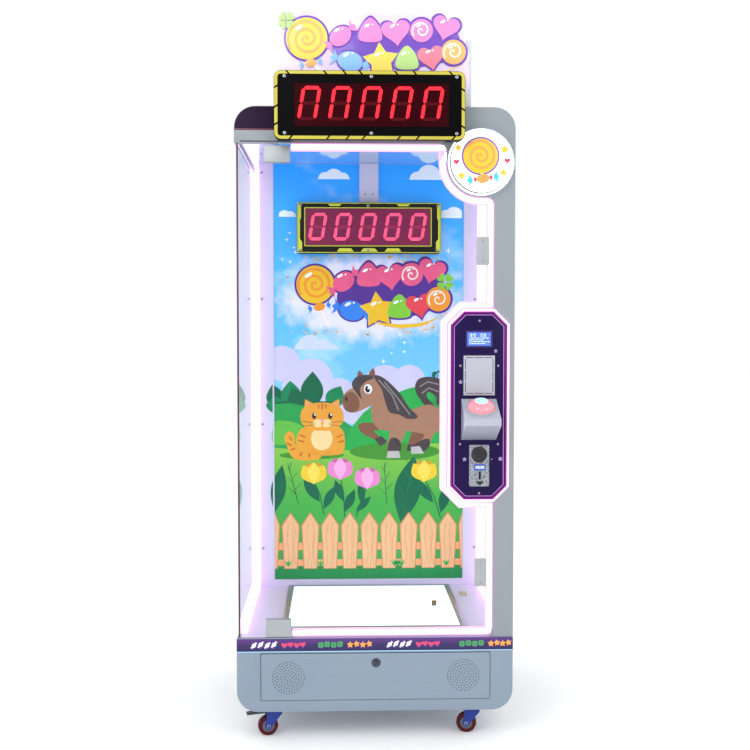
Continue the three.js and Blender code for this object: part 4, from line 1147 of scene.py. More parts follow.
def backdrop_plants(f):
    """The big veined leaves, two twigs and four tulips before the fence."""
    big = leaf(120, 553, 258, 98, 11)
    layer("leaf_big", [big], 8, f["ink_pine"])
    veins = [strip([(120, 553), (170, 806)], 2.5)]
    for i in range(6):
        x, z = 124 + 7 * i, 580 + 36 * i
        veins += [strip([(x, z), (x + 32, z + 34)], 2), strip([(x, z), (x - 26, z + 38)], 2)]
    layer("leaf_big_veins", veins, 8.2, f["ink_bush"])
    layer("leaf_edge", [leaf(-350, 596, 180, 56, 9)], 8, f["ink_pine"])
    twigs = []
    for x, z, lean in ((-262, 626, -14), (66, 622, -3)):
        reach_x, reach_z = 160 * math.sin(math.radians(lean)), 160 * math.cos(math.radians(lean))
        twigs.append(strip([(x, z), (x + reach_x, z + reach_z)], 2.5))
        for t, side in ((0.25, -1), (0.35, 1), (0.5, -1), (0.6, 1), (0.75, -1), (0.85, 1)):
            px, pz = x + reach_x * t, z + reach_z * t
            twigs.append(strip([(px, pz), (px + side * 34 * (1.1 - t), pz + 26)], 2))
    layer("twigs", twigs, 8, f["ink_pine"])
    flowers = ((-205, 742, -168, 588, "ink_tulip_gold", ((-136, 36, 96, 34, 26), (-200, 20, 110, 40, -34))),
               (-107, 757, -90, 577, "ink_tulip_pink", ((-62, 50, 92, 34, 24), (-120, 52, 86, 32, -22))),
               (-6, 722, -48, 577, "ink_tulip_pink", ((8, 46, 80, 26, 44), (-52, 10, 100, 28, -6))),
               (206, 748, 268, 571, "ink_tulip_gold", ((232, 40, 112, 40, 14), (196, 28, 116, 38, -38))))
    for k, (x, z, foot_x, foot_z, ink, leaves) in enumerate(flowers):
        stem = strip([(x, z - 30), ((x + foot_x) / 2 + 4, (z + foot_z) / 2), (foot_x, foot_z)], 4)
        layer("tulip_%d_stem" % k, [stem], 8.4, f["ink_pine"])
        mx, mz = (x + foot_x) / 2 + 4, (z + foot_z) / 2 - 30
        for j, (_, _, length, wide, lean) in enumerate(leaves):
            blade = leaf(mx if j else foot_x, mz if j else foot_z + 20, length, wide, lean)
            layer("tulip_%d_leaf_%d" % (k, j), [blade], 8.5 + 0.1 * j, f["ink_pine"])
        back = [leaf(x - 4, z - 38, 84, 44, 18, tip=0.6), leaf(x + 4, z - 38, 84, 44, -18, tip=0.6)]
        for j, petal in enumerate(back):
            layer("tulip_%d_back_%d" % (k, j), [petal], 8.8 + 0.1 * j, f[ink + "_shade"])
        front = [leaf(x, z - 40, 80, 52, -30, tip=0.55), leaf(x, z - 40, 80, 52, 30, tip=0.55),
                 leaf(x, z - 42, 84, 46, 0, tip=0.55)]
        for j, petal in enumerate(front):
            layer("tulip_%d_petal_%d" % (k, j), [petal], 9.2 + 0.1 * j,
                  f[ink] if j < 2 else f[ink + "_light"])


def clipped(points, x0=-350, x1=350):
    """An outline kept within the width of the backdrop."""
    return [(min(max(x, x0), x1), z) for x, z in points]


def backdrop_fence(f):
    """Fence rails and pickets with their grain, on a green verge with tufts of grass."""
    layer("verge", [slab(-350, 350, 345, 392)], 9, f["ink_verge"])
    layer("fence_rails", [slab(-350, 350, 455, 482), slab(-350, 350, 395, 419)], 11, f["ink_rail"])
    for i in range(-1, 10):
        x = -291.3 + 73.3 * i
        tip, shoulder, foot = 597, 548, 384
        shape = [(x - 34, shoulder), (x - 25, foot), (x + 25, foot), (x + 34, shoulder), (x, tip)]
        if x - 34 > 350 or x + 34 < -350:
            continue
        layer("picket_edge_%02d" % (i + 1), [clipped(shape)], 11.4, f["ink_picket_edge"])
        inner = [(x - 30, shoulder - 2), (x - 22, foot + 2), (x + 22, foot + 2), (x + 30, shoulder - 2),
                 (x, tip - 6)]
        layer("picket_%02d" % (i + 1), [clipped(inner)], 11.7, f["ink_picket"])
        if abs(x) < 320:
            swing = 4 + 3 * math.sin(i * 2.1)
            lines = [strip([(x - 12, 395), (x - 10 + swing, 440), (x - 14, 500), (x - 8, 552)], 1.6),
                     strip([(x + 4, 392), (x + 8, 450), (x + 4 + swing, 520), (x + 10, 560)], 1.6),
                     strip([(x + 15, 400), (x + 12, 470), (x + 18, 530)], 1.6)]
            layer("picket_grain_%02d" % (i + 1), lines, 12, f["ink_picket_edge"])
    tufts = []
    for x in (-300, -180, 96, 108, 122, 290):
        tufts += [leaf(x, 392, 26, 6, lean) for lean in (-28, 0, 24)]
    for k, blade in enumerate(tufts):
        layer("grass_%02d" % k, [blade], 12.4, f["ink_meadow"])


def backdrop(f):
    """The whole printed rear wall: scenery, the cluster of sweets, side strips and screws."""
    backdrop_sky(f)
    backdrop_land(f)
    backdrop_cat(f)
    backdrop_pony(f)
    backdrop_plants(f)
    backdrop_fence(f)
    shades = {"back": "ink_purple", "pink": "ink_candy_pink", "blue": "ink_candy_blue",
              "gold": "ink_candy_gold",
              "green": "ink_candy_green", "red": "ink_candy_red", "orange": "ink_candy_orange",
              "cream": "ink_cream", "white": "ink_white"}
    sweet_cluster("backdrop_sweets", f, (-293, 304, 1282, 1548), WALL_Y - 1.6, 0.45, shades, 1.05,
                  (0.965, 0.64), "interior_white")
    strips = [(x, z) for x in (-394, 394) for z in (1851, 1388, 925, 462)]
    screw_heads("backdrop_screws", strips, WALL_Y, f["zinc"], f["gap"], 5, slot="lock_chrome")
    for s in (-1, 1):
        block("backdrop_clip_" + ("left" if s < 0 else "right"), *sorted((s * 350.5, s * 356)), WALL_Y - 3,
              WALL_Y - 0.1, 345, 1884.5, f["liner"], 0.6, slot="interior_white")


# ---- front: header, band, medallion, panel, hatch ----

def header(f):
    """The dark film on the header's left end, the rail's shadow line and the blue film over the top clamp."""
    x0, _, _, _, rail, top = edges("header_shell")
    film_x0, film_x1, film_z0, film_z1, corner = x0 + 1.5, -240, rail + 43, top - 1.5, 63
    film = [(film_x0, film_z0), (film_x1, film_z0), (film_x1, film_z1)]
    film += ring(film_x0 + corner, film_z1 - corner, corner, 8, 90, 90)
    clamp_right = -262
    cut_out("header_film", [film], -0.5, 0.2, f["header_film"], ease=0.15, slot="band_print")
    cut_out("header_film_line", [slab(film_x0, film_x1, film_z0 - 5, film_z0)], -0.6, 0.2, f["maroon"],
            ease=0.1, slot="band_print")
    # painted shadow: a near-black strip under the header rail
    cut_out("header_rail_painted_shadow", [slab(x0 + 18, clamp_right, rail + 3, rail + 6)], -0.5, 0.2, f["gap"],
            ease=0.1, slot="painted_steel")
    block("door_film_blue", clamp_right - 38, clamp_right, 1.2, 1.9, rail - 2, rail + 0.4, f["lip"], 0.1,
          slot="window_glass")


def band_sticker(kind, x, z, odd):
    """One small sticker of the band's rows, leaning the other way on odd places."""
    if kind == "wrap":
        return wrapped_sweet(x, z, 11, 48)
    if kind == "heart":
        return [heart(x, z, 10, 6 if odd else -6, 22)]
    if kind == "clover":
        return clover(x, z, 10.5)
    return [star(x, z, 11, 0.55, 5, 90 + 12 * odd)]


BAND_ROWS = (  # first and last edge of each row of four, its vinyl, its motif
    (-387, -304, "sticker_white", "wrap"), (-292, -216, "sticker_red", "heart"),
    (-179, -100, "sticker_green", "clover"), (-88, -9, "sticker_orange", "star"),
    (35, 114, "sticker_white", "wrap"), (126, 202, "sticker_red", "heart"),
    (261, 340, "sticker_green", "clover"), (352, 425, "sticker_orange", "star"),
)


def band_stickers(f):
    """Rows of small sweets and clovers on the band, each on a dark halo, and a pale painted highlight line
    below it.
    """
    x0, x1, face, back, z0, z1 = edges("trim_band")
    middle, halos = (z0 + z1) / 2 + 1, []
    for k, (start, end, vinyl, kind) in enumerate(BAND_ROWS):
        shapes = []
        for i in range(4):
            x, z = start + (end - start) * (i + 0.5) / 4, middle + (1.2 if i % 2 else -1.2)
            halos.append(slab(x - 9.3, x + 9.3, z - 12, z + 12, 8))
            shapes += band_sticker(kind, x, z, i % 2)
        cut_out("band_stickers_%d" % k, shapes, face - 0.3, face + 0.1, f[vinyl], ease=0.03,
                slot="band_print")
    cut_out("band_halos", halos, face - 0.15, face + 0.1, f["sticker_halo"], ease=0.02, slot="band_print")
    # painted highlight: a glowing pale blue line where the band's lower edge catches the light
    block("band_painted_edge_highlight", x0 + 1, x1 - 1, face + 1, back + 0.1, z0 - 2.8, z0 + 0.2, f["lip"], 0.4,
          slot="band_print")


def medallion(f):
    """The lit disc: opal face, cold halo, and a lollipop with a bow among stars and hearts."""
    box = edges("medallion")
    x, z, r = (box[0] + box[1]) / 2, (box[4] + box[5]) / 2, (box[1] - box[0]) / 2
    eased("medallion", 1.2, f["black"], 3)
    face = box[2]
    cut_out("medallion_face", [ring(x, z, r - 2.2, 72)], face - 0.8, face + 0.3, f["medal"], ease=0.4,
            rounds=2, slot="medallion_acrylic")
    cut_out("medallion_halo", [ring(x, z, r + 4.5, 72), ring(x, z, r - 4, 72)], -3.2, -0.2, f["medal_halo"],
            ease=0.8, slot="medallion_acrylic")
    lx, lz = x - 4, z + 16

    def emblem(part, outlines, proud, ink):
        """One part of the disc's picture, proud by so many millimetres."""
        cut_out("medallion_" + part, outlines, face - proud, face, f[ink], ease=0.05,
                slot="medallion_acrylic")

    emblem("lolly_back", [ring(lx, lz, 58, 56)], 1.0, "sign_purple")
    emblem("stick", [strip([(lx + 4, lz - 50), (lx + 10, z - 90)], 9)], 1.1, "sign_cream")
    emblem("lolly", [ring(lx, lz, 53, 56)], 1.3, "sticker_gold")
    emblem("swirl", [spiral(lx, lz, 49, 2.4, 0.16)], 1.5, "sticker_orange")
    emblem("bow", wrapped_sweet(lx + 8, z - 52, 44, 8)[1:], 1.5, "sticker_cyan")
    emblem("bow_ends", wrapped_sweet(lx + 8, z - 52, 27, 8)[1:], 1.7, "sticker_red")
    emblem("knot", [oval(lx + 8, z - 52, 20, 14, 8)], 1.9, "sticker_orange")
    emblem("stars", [star(x - 72, z + 40, 13), star(x + 70, z + 36, 15), star(x + 66, z - 34, 13),
                     star(x - 62, z - 44, 14)], 1.2, "sticker_gold")
    emblem("hearts", [heart(x + 78, z + 2, 10), heart(x - 78, z - 2, 10)], 1.2, "sticker_red")


def panel_board(f):
    """The control panel's dark face and its printed line."""
    x0, x1, y, _, z0, z1 = edges("control_panel")

    def inner(d):
        """The board's outline moved in by d."""
        return octagon(x0 + d, x1 - d, z0 + d, z1 - d, PANEL_CORNER - CORNER_SHRINK * d)

    cut_out("panel_face", [inner(6)], y - 0.5, y + 0.2, f["panel_face"], ease=0.15, slot="panel_acrylic")
    cut_out("panel_line", [inner(10), inner(12.2)], y - 0.75, y, f["panel_line"], ease=0.05,
            slot="panel_acrylic")


def screen_face(f):
    """The bezel of the small screen and its readout: a row of numerals over four broken lines of text."""
    x0, x1, y, _, z0, z1 = edges("lcd_screen")
    bezel = [slab(x0 - 3, x1 + 3, z0 - 3, z1 + 3, 2), slab(x0 + 2.5, x1 - 2.5, z0 + 2.5, z1 - 2.5, 1)]
    cut_out("lcd_bezel", bezel, y - 0.9, edges("control_panel")[2], f["lcd_rim"], ease=0.3, slot="lcd")
    marks, line_gap, line_start = [], 5.6, 8
    for i, line_end in enumerate((60, 44, 66, 52)):
        z, x = z1 - 21 - line_gap * i, x0 + line_start
        while x < x0 + line_end:
            length = 3 + 3.4 * ((i * 5 + int(x)) % 3)
            marks.append(slab(x, x + length, z, z + 2.2))
            x += length + 2
    for along, bars in ((14, "abcdefg"), (24, "abcdfg"), (46, "abcdef"), (56, "abcdefg")):
        marks += seven_segment(x0 + along, z1 - 11, 6.5, 10.5, 1.7, bars, 0)
    cut_out("lcd_readout", marks, y - 0.3, y + 0.1, f["lcd_ink"], ease=0.03, slot="lcd")


def reader_face(f):
    """The black gasket round the blank reader plate and the thin slots along its four edges."""
    x0, x1, y, _, z0, z1 = edges("reader_blank")
    board = edges("control_panel")[2]
    gasket = [slab(x0 - 2.4, x1 + 2.4, z0 - 2.4, z1 + 2.4, 2), slab(x0 + 1, x1 - 1, z0 + 1, z1 - 1)]
    cut_out("reader_gasket", gasket, board - 1.4, board, f["black"], ease=0.3, slot="black_plastic")
    slot_width, slots = 1.8, []
    for a, b in ((7, 30), (34, 62), (66, 89)):
        slots += [slab(x0 + a, x0 + b, z, z + slot_width) for z in (z0 + 5, z1 - 5 - slot_width)]
    for a, b in ((10, 42), (46, 76), (80, 112)):
        slots += [slab(x, x + slot_width, z0 + a, z0 + b) for x in (x0 + 4.6, x1 - 4.6 - slot_width)]
    # painted shade: the thin slots are filled near black for the dark inside them
    cut_out("reader_slots", slots, y - 0.3, y + 0.1, f["gap"], ease=0.05, slot="box_paint")


def panel_marks(f):
    """The small printed stars of the control panel and its screws."""
    x0, x1, y, _, z0, z1 = edges("control_panel")
    stars = [star(x1 - 36, z1 - 122, 7), star(x0 + 31, z1 - 217, 8), star(x0 + 44, z0 + 125, 8),
             star(x1 - 20, z0 + 126, 7, 0.75, 6), ring(x1 - 47, z0 + 125, 2)]
    cut_out("panel_stars", stars, y - 0.8, y, f["panel_grey"], ease=0.03, slot="panel_acrylic")
    spots = [(x0 + 89, z1 - 29), (x0 + 89, z0 + 20)]
    spots += [(x, z) for x in (x0 + 30, x1 - 28) for z in (z1 - 167, z0 + 172)]
    screw_heads("panel_screws", spots, y - 0.5, f["zinc"], f["gap"], 3.4, slot="lock_chrome")


def coin_entry(f):
    """What the sparkle-coated coin plate carries: knob collar, ribs, label, arrow, rivets, slot edge."""
    plate, knob = edges("coin_mechanism"), edges("coin_return_knob")
    x0, x1, z0, z1 = plate[0], plate[1], plate[4], plate[5]
    face, middle = -17.1, (x0 + x1) / 2 + 2
    kx, kz = (knob[0] + knob[1]) / 2, (knob[4] + knob[5]) / 2
    cut_out("coin_knob_collar", [ring(kx, kz, 24.5, 40), ring(kx, kz, 21, 40)], plate[2] + 0.2,
            plate[2] + 3.2, f["black"], ease=0.8, slot="black_plastic")
    ribs = []
    for i in range(6):
        c, s = math.cos(math.radians(60 * i)), math.sin(math.radians(60 * i))
        ribs.append(strip([(kx + 8 * c, kz + 8 * s), (kx + 16 * c, kz + 16 * s)], 2.4))
    cut_out("coin_knob_ribs", ribs, knob[2] - 1.0, knob[2] + 0.3, f["black"], ease=0.3, body="return_knob",
            slot="black_plastic")
    cut_out("coin_label", [slab(middle - 18, middle + 18, z0 + 50, z0 + 69, 2)], face - 0.8, face + 0.2,
            f["coin_blue"], ease=0.1, slot="coin_metal")
    bars = [slab(middle - 13 + 4 * i, middle - 10.6 + 4 * i, z0 + 55, z0 + 64) for i in range(7)]
    cut_out("coin_label_bars", bars, face - 1.0, face - 0.4, f["sticker_white"], ease=0.03,
            slot="coin_metal")
    arrow = [(middle - 10, z0 + 16), (middle + 10, z0 + 16), (middle + 10, z0 + 11), (middle, z0 + 3),
             (middle - 10, z0 + 11)]
    cut_out("coin_arrow", [arrow], face - 1.1, face + 0.2, f["black"], ease=0.2, slot="coin_metal")
    rivets = [(x0 + 8, z0 + 8), (x1 - 8, z0 + 8), (x0 + 8, z1 - 9), (x1 - 8, z1 - 9)]
    screw_heads("coin_rivets", rivets, face, f["zinc"], f["gap"], 4.2, slot="lock_chrome")
    slot_edge = [slab(middle - 7, middle + 7, z0 + 20, z0 + 49, 4),
                 slab(middle - 3.8, middle + 3.8, z0 + 21.6, z0 + 47.4, 1.5)]
    cut_out("coin_slot_edge", slot_edge, plate[2] - 1.2, plate[2] + 0.4, f["chrome"], ease=0.4,
            slot="coin_metal")


def box_screws(f):
    """The two screws at the foot of the button box."""
    box = edges("button_box")
    spots = [(box[0] + 10, box[4] + 4), (box[1] - 10, box[4] + 4)]
    screw_heads("button_box_screws", spots, edges("control_panel")[2] - 0.4, f["zinc"], f["gap"], 3,
                slot="lock_chrome")


def button(f):
    """The lit dome: a clear pink lens with a painted ice-blue highlight on its top, in a collar, square to
    the sloping lid.
    """
    box = edges("button_box")
    x = (box[0] + box[1]) / 2
    tilt, y, z = 24.24, -73.2, 1040.5  # the lid's slope, and the depth and height of its hole's middle
    outwards = (0, -math.sin(math.radians(tilt)), math.cos(math.radians(tilt)))

    def place(lift):
        """The point above the hole's middle by lift millimetres along the dome's axis."""
        return x * MM, FRONT_Y + (y + outwards[1] * lift) * MM, (z + outwards[2] * lift) * MM

    def cap(name, r, high, lift, cut, material):
        """The top of a flattened ball, cut off square to the axis."""
        bpy.ops.mesh.primitive_uv_sphere_add(segments=48, ring_count=32, radius=1, location=place(lift),
                rotation=(math.radians(tilt), 0, 0), scale=(r * MM, r * MM, high * MM))
        piece = bpy.context.object
        bpy.ops.object.transform_apply(location=True, rotation=True, scale=True)
        bpy.ops.object.mode_set(mode="EDIT")
        bpy.ops.mesh.select_all(action="SELECT")
        bpy.ops.mesh.bisect(plane_co=place(lift + cut), plane_no=outwards, use_fill=True, clear_inner=True)
        bpy.ops.object.mode_set(mode="OBJECT")
        return settle(piece, name, material, body="button", slot="button_lens")

    lens = cap("button_dome", 40, 25.5, 5.2, -3, f["lens"])
    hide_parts("push_button")
    # painted highlight: a thin ice-blue shell just over the top of the dome
    cap("button_painted_highlight", 40.4, 26, 5.2, 22.6, f["lens_core"])
    rings = (("button_collar", 46, 40.6, 5, 2.6, f["lens_rim"], "button"),
             ("button_washer", 48, 44, 1.4, 0.8, f["box"], "root"))
    for name, r, hole, deep, lift, finish, body in rings:
        bpy.ops.mesh.primitive_torus_add(major_radius=(r + hole) / 2 * MM, minor_radius=(r - hole) / 2 * MM,
                major_segments=56, minor_segments=14, location=place(lift),
                rotation=(math.radians(tilt), 0, 0))
        bpy.context.object.scale = (1, 1, deep / (r - hole))
        settle(bpy.context.object, name, finish, body=body, slot="button_lens")


def hatch(f):
    """The hatch plate with its two rings of speaker holes, its lock and its hinge barrels."""
    x0, x1, y0, y1, z0, z1 = edges("service_hatch")
    lock = edges("lock_cam")
    lock_x, lock_z = 2.5, (lock[4] + lock[5]) / 2
    holes, ring_step = [], 8.2
    for name in ("left", "right"):
        speaker = edges("speaker_" + name)
        cx, cz = (speaker[0] + speaker[1]) / 2, (speaker[4] + speaker[5]) / 2
        holes.append(ring(cx, cz, 1.5, 6))
        for i in range(1, 7):
            for j in range(6 * i):
                a = math.radians(60 * j / i + 9 * i)
                holes.append(ring(cx + ring_step * i * math.cos(a), cz + ring_step * i * math.sin(a), 1.75,
                                  6))
    outline = [slab(x0 + 0.3, x1 - 0.3, z0 + 0.5, z1 - 0.2, 3), ring(lock_x, lock_z, 9.5, 24)]
    plate = cut_out("hatch_plate", outline + holes, y0, y1, f["blue_grey"], ease=0.25, body="hatch",
                    slot="painted_steel")
    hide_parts("service_hatch")
    cut_out("lock_ring", [ring(lock_x, lock_z, 15, 40), ring(lock_x, lock_z, 9.6, 40)], y0 - 0.2, y0 + 3.1,
            f["lock_metal"], ease=1.0, rounds=3, body="hatch", slot="lock_chrome")
    # painted shade: the keyway is near black for the dark inside it
    cut_out("lock_keyway", [slab(lock_x - 1.1, lock_x + 1.1, lock_z - 5, lock_z + 5, 0.6)], lock[2] - 0.25,
            lock[2] + 0.2, f["gap"], ease=0.05, body="lock", slot="lock_chrome")
    for name, x in (("left", x0 + 60), ("right", x1 - 60)):
        drum("hatch_hinge_" + name, x, y1 + 2.5, z0 + 3.5, 2.6, 42, f["zinc"], (0, 90, 0), 16, 0.4,
             body="hatch", slot="plain_steel")


def door_fittings(f):
    """Screws of the strike plates, the catch behind each, and the dark front edges of the side panes."""
    column = edges("control_panel")[0]
    for name in ("upper", "lower"):
        x0, x1, y, _, z0, z1 = edges("strike_plate_" + name)
        spots = [((x0 + x1) / 2, z0 + 12), ((x0 + x1) / 2, z1 - 12)]
        screw_heads("strike_%s_screws" % name, spots, y, f["fitting"], f["gap"], 3.5, body="door",
                    slot="steel_fitting")
        catch = block("catch_" + name, column + 87, column + 112, 9.6, 31, z0 + 14, z1 - 14, f["zinc"], 1.2,
                      slot="steel_fitting")
        arm = block("catch_arm_" + name, column + 109, column + 138, 28, 31.5, z0 + 18, z1 - 18, f["zinc"],
                    0.6, slot="steel_fitting")
        gather([catch, arm])
    for name in ("left", "right"):
        x0, x1, y0, _, z0, z1 = edges("side_glass_" + name)
        block("side_glass_edge_" + name, x0 + 0.1, x1 - 0.1, y0 - 0.4, y0 + 0.6, z0 + 1, z1 - 1,
              f["glass_edge"], 0.2, slot="window_glass")


def casters(f):
    """Tyre, hub, boss and nut of each caster, with its fork, plate and, in front, its brake pedal."""
    for end in ("front_left", "front_right", "rear_left", "rear_right"):
        x0, x1, y0, y1, z0, z1 = edges("caster_wheel_" + end)
        spot = ((x0 + x1) / 2, (y0 + y1) / 2, (z0 + z1) / 2)
        turn = (90, 0, 12 if "left" in end else -8)
        wheel, fork = {"body": "wheel_" + end, "slot": "tyre"}, "fork_" + end
        tyre = drum("tyre_" + end, *spot, 31.5, 24, f["tyre"], turn, 48, 4.5, **wheel)
        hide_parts("caster_wheel_" + end)
        drum("hub_" + end, *spot, 19.5, 25.2, f["hub"], turn, 32, 1.2, **wheel)
        drum("hub_boss_" + end, *spot, 9, 27, f["hub"], turn, 24, 0.8, **wheel)
        drum("axle_nut_" + end, *spot, 6.5, 41, f["zinc"], turn, 6, 0.7, body=fork, slot="plain_steel")
        eased("caster_fork_" + end, 0.8, f["caster_blue"])
        eased("caster_plate_" + end, 0.8, f["caster_blue"])
        if "front" in end:
            # the right pedal takes the painted tint of the purple light under the base
            eased("caster_pedal_" + end, 0.8, f["pedal"] if "left" in end else f["pedal_rose"])


def bed(f):
    """The mitre lines and screws of the lit bed's frame."""
    x0, x1, y0, y1, _, top = edges("bed_frame")
    bar, half_bar = 20, 10
    k = 0
    for corner_x, dx in ((x0, bar), (x1, -bar)):
        for corner_y, dy in ((y0, bar), (y1, -bar)):
            place = ((corner_x + dx / 2) * MM, FRONT_Y + (corner_y + dy / 2) * MM, (top + 0.02) * MM)
            bpy.ops.mesh.primitive_cube_add(size=1, location=place, rotation=(0, 0, math.atan2(dy, dx)))
            line = bpy.context.object
            line.scale = (math.hypot(dx, dy) * 0.94 * MM, 0.5 * MM, 0.2 * MM)
            bpy.ops.object.transform_apply(location=False, rotation=False, scale=True)
            ease_edges(line, 0.05)
            settle(line, "bed_mitre_%d" % k, f["gap"], slot="bed_aluminium")
            k += 1
    left, right, near, far = x0 + half_bar, x1 - half_bar, y0 + half_bar, y1 - half_bar
    spots = [(x, y) for x in (left, (x0 + x1) / 2, right) for y in (near, far)]
    spots += [(x, (y0 + y1) / 2) for x in (left, right)]
    for k, (x, y) in enumerate(spots):
        drum("bed_screw_%d" % k, x, y, top + 0.5, 4, 1.2, f["zinc"], (0, 0, 0), 16, 0.4,
             slot="bed_aluminium")


def die(f):
    """The small brown die with a gold top and three gold pips in front."""
    x0, x1, y0, y1, z0, z1 = edges("game_die")
    middle_x, middle_z, border = (x0 + x1) / 2, (z0 + z1) / 2, 1.6
    eased("game_die", border, f["wood_die"], 3)
    block("die_top", x0 + border, x1 - border, y0 + border, y1 - border, z1 - 0.3, z1 + 0.3, f["gold"], 0.2,
          body="die", slot="die_plastic")
    pips = [ring(middle_x + step, middle_z - step, 1.3, 12) for step in (-4, 0, 4)]
    cut_out("die_pips_front", pips, y0 - 0.1, y0 + 0.1, f["gold"], ease=0.02, body="die",
            slot="die_plastic")


def deck_details(f):
    """The small beige plate by the right wall, and the screws of the cable channel."""
    floor_z = edges("deck_panel")[5]
    block("deck_plate", 324, 350, 540, 596, floor_z + 0.1, floor_z + 3.4, f["beige"], 0.8,
          slot="interior_white")
    channel = edges("cable_channel")
    screw_heads("channel_screws", [(-14, channel[4] + 33.7), (14, channel[4] + 33.7)], channel[2],
                f["zinc"], f["gap"], 4, slot="lock_chrome")


# ---- back, sides, top ----

def back_door(f):
    """The seam, skin, hinges and lock of the rear service door."""
    y = edges("rear_panel")[3]
    half, foot, head = 330, 360, 1800
    seam = [slab(-half, half, foot, head, 14), slab(2.5 - half, half - 2.5, foot + 2.5, head - 2.5, 12)]
    cut_out("back_door_seam", seam, y - 0.2, y + 0.3, f["gap"], ease=0.05, slot="painted_steel")
    cut_out("back_door_skin", [slab(3.5 - half, half - 3.5, foot + 3.5, head - 3.5, 11)], y - 0.1, y + 1.2,
            f["blue_grey"], ease=0.4, slot="painted_steel")
    for k, z in enumerate((520, 1080, 1640)):
        drum("back_hinge_%d" % k, -half - 1, y + 4, z, 5, 70, f["zinc"], (0, 0, 0), 20, 0.6,
             slot="plain_steel")
        block("back_hinge_leaf_%d" % k, -half - 22, 20 - half, y + 0.2, y + 2.4, z - 32, z + 32, f["zinc"],
              0.5, slot="plain_steel")
    lock_x, lock_z = half - 34, 1080
    cut_out("back_lock_ring", [ring(lock_x, lock_z, 14, 32), ring(lock_x, lock_z, 9, 32)], y + 1, y + 4,
            f["chrome"], ease=0.8, slot="lock_chrome")
    cut_out("back_lock_plug", [ring(lock_x, lock_z, 8.6, 32)], y + 1, y + 3.4, f["chrome"], ease=0.5,
            slot="lock_chrome")
    # painted shade: the keyway is near black for the dark inside it
    cut_out("back_lock_keyway", [slab(lock_x - 1, lock_x + 1, lock_z - 5, lock_z + 5)], y + 3.3, y + 3.7,
            f["gap"], ease=0.03, slot="lock_chrome")


def back_louvres(f):
    """Three banks of louvres: two in the rear door's skin, 1.2 mm proud of the panel, and one below it."""
    y, pitch = edges("rear_panel")[3], 16
    banks = ((0, 1560, 12, 130, y + 1.2), (0, 520, 12, 130, y + 1.2), (200, 215, 8, 80, y))
    for bank, (cx, cz, rows, half, base) in enumerate(banks):
        for i in range(rows):
            z = cz + (i - rows / 2) * pitch
            # painted shade: a near-black strip in the opening under each louvre
            cut_out("back_louvre_gap_%d_%02d" % (bank, i), [slab(cx - half, cx + half, z, z + 5, 2.4)],
                    base - 0.1, base + 0.3, f["gap"], ease=0.05, slot="painted_steel")
            block("back_louvre_%d_%02d" % (bank, i), cx - half - 2, cx + half + 2, base, base + 3.4,
                  z + 4.4, z + 9, f["blue_grey"], 1.2, slot="painted_steel")


def back_marks(f):
    """The rear panel's screws and its rating plate, with bars where the text would be."""
    y = edges("rear_panel")[3]
    around = [(x, z) for x in (-405, 405) for z in range(180, 1900, 215)]
    around += [(x, z) for x in (-270, -90, 90, 270) for z in (120, 330, 1830, 1930)]
    screw_heads("back_screws", around, y, f["zinc"], f["gap"], 5, side=1, slot="lock_chrome")
    x0, x1, z0, z1 = -330, -240, 210, 262
    cut_out("rating_plate", [slab(x0, x1, z0, z1, 4)], y, y + 0.5, f["zinc"], ease=0.1, slot="plain_steel")
    bars = [slab(x0 + 6, x0 + 6 + length, z1 - 12 - 8 * i, z1 - 9.6 - 8 * i)
            for i, length in enumerate((70, 52, 64, 40, 58))]
    cut_out("rating_plate_bars", bars, y + 0.4, y + 0.7, f["gap"], ease=0.02, slot="plain_steel")


def inlet(f):
    """The flange, screws and three pins of the mains inlet."""
    y = edges("rear_panel")[3]
    x0, x1, _, back, z0, z1 = edges("mains_inlet")
    middle_x, middle_z = (x0 + x1) / 2, (z0 + z1) / 2
    flange = [slab(x0 - 10, x1 + 10, z0 - 5, z1 + 5, 3),
              slab(middle_x - 9, middle_x + 9, middle_z - 6, middle_z + 6, 1)]
    cut_out("inlet_flange", flange, y, y + 2.4, f["black"], ease=0.5, slot="black_plastic")
    screw_heads("inlet_screws", [(x0 - 5, middle_z), (x1 + 5, middle_z)], y + 2.4, f["zinc"], f["gap"], 3,
                side=1, slot="lock_chrome")
    pins = [slab(middle_x + dx - 1, middle_x + dx + 1, middle_z + dz - 3, middle_z + dz + 3)
            for dx, dz in ((-5.5, 0), (0, 2), (5.5, 0))]
    cut_out("inlet_pins", pins, back - 13, back - 1, f["chrome"], ease=0.1, slot="black_plastic")


def side_details(f):
    """Each side's row of vents in the base and its cap bolts."""
    for side, word in ((-1, "left"), (1, "right")):
        x = side * edges("base_shell")[1]
        for i in range(9):
            z = 150 + i * 14
            # painted shade: a near-black strip in each vent opening, under its lip
            block("side_vent_%s_%d" % (word, i), *sorted((x - side * 0.2, x + side * 0.4)), 330, 470, z,
                  z + 5, f["gap"], 0.1, slot="painted_steel")
            block("side_vent_lip_%s_%d" % (word, i), *sorted((x, x + side * 2.4)), 328, 472, z + 4.6,
                  z + 8.4, f["blue_grey"], 0.9, slot="painted_steel")
        bolts = [drum("side_bolts_" + word, x, y, z, 6, 3, f["zinc"], (0, 90, 0), 18, 0.9,
                      slot="lock_chrome")
                 for y in (50, 230, 570, 750) for z in (300, 1905)]
        gather(bolts)


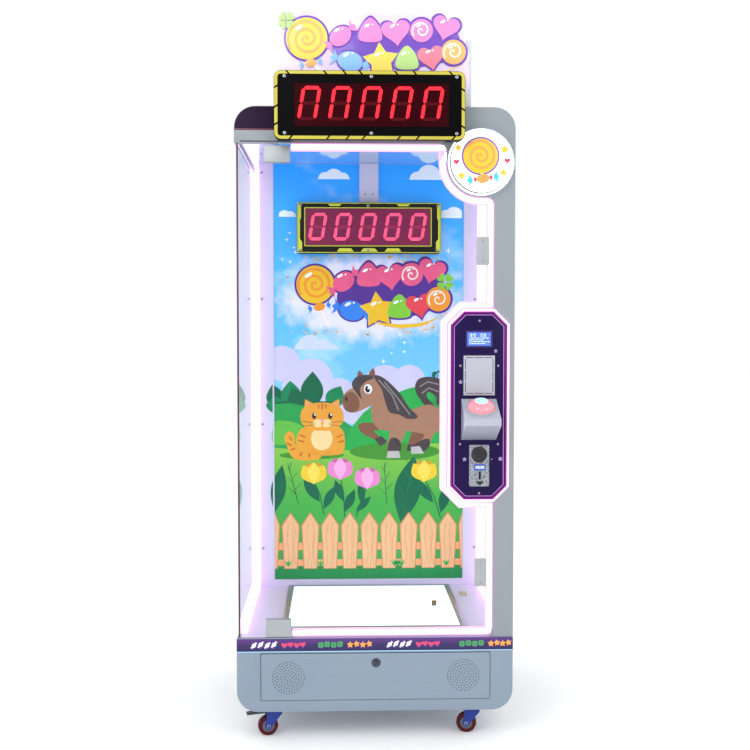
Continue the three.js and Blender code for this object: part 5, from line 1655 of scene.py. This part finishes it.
def roof(f):
    """The fan guard of welded wire over its dark well, and the screws of the roof sheet."""
    top, fan_y, wire = edges("header_shell")[5], 560, 1.6
    guard = []
    for r in (20, 34, 48, 62, 76):
        bpy.ops.mesh.primitive_torus_add(major_radius=r * MM, minor_radius=wire * MM, major_segments=48,
                minor_segments=8, location=(0, FRONT_Y + fan_y * MM, (top + 3) * MM))
        guard.append(settle(bpy.context.object, "top_fan_guard", f["zinc"], slot="plain_steel"))
    for angle in (0, 60, 120):
        bpy.ops.mesh.primitive_cylinder_add(vertices=10, radius=wire * MM, depth=160 * MM,
                location=(0, FRONT_Y + fan_y * MM, (top + 1.8) * MM),
                rotation=(math.pi / 2, 0, math.radians(angle)))
        guard.append(settle(bpy.context.object, "top_fan_spoke", f["zinc"], slot="plain_steel"))
    gather(guard)
    # painted shade: a near-black disc for the dark well under the fan guard
    drum("top_fan_well", 0, fan_y, top + 0.2, 78, 0.6, f["gap"], (0, 0, 0), 56, 0.1, slot="black_plastic")
    drum("top_fan_hub", 0, fan_y, top + 0.8, 22, 1.4, f["black"], (0, 0, 0), 32, 0.4, slot="black_plastic")
    heads = [drum("top_screws", x, y, top + 0.9, 5, 1.8, f["zinc"], (0, 0, 0), 16, 0.6, slot="lock_chrome")
             for x in (-340, 0, 340) for y in (60, 400, 740)]
    gather(heads)


def lightbox(f):
    """The back of the lightbox over the header: seam, screws and vents."""
    x0, x1, _, back, z0, z1 = edges("topper_lightbox")
    spots = [(x, z) for x in (x0 + 30, x1 - 30) for z in (z0 + 25, z1 - 25)]
    screw_heads("lightbox_screws", spots, back, f["zinc"], f["gap"], 5, side=1, slot="lock_chrome")
    seam = [slab(x0 + 12, x1 - 12, z0 + 10, z1 - 10, 8), slab(x0 + 14, x1 - 14, z0 + 12, z1 - 12, 7)]
    cut_out("lightbox_back_seam", seam, back - 0.1, back + 0.3, f["gap"], ease=0.05, slot="box_paint")
    for i in range(7):
        z = z0 + 60 + i * 14
        # painted shade: each vent slot is filled near black for the dark behind it
        cut_out("lightbox_vent_%d" % i, [slab(-60, 60, z, z + 5, 2.4)], back - 0.1, back + 0.3, f["gap"],
                ease=0.05, slot="box_paint")


# ---- everything, in the order it is built ----

random.seed(7)
build_stage()
finishes = mix_finishes()
for build in (
    dress_cabinet, door_light, topper_display, inner_display, sign, lightbox, backdrop, header,
    band_stickers,
    medallion, panel_board, screen_face, reader_face, panel_marks, coin_entry, box_screws, button, hatch,
    door_fittings, casters, bed, die, deck_details, back_door, back_louvres, back_marks, inlet,
    side_details, roof,
):
    build(finishes)
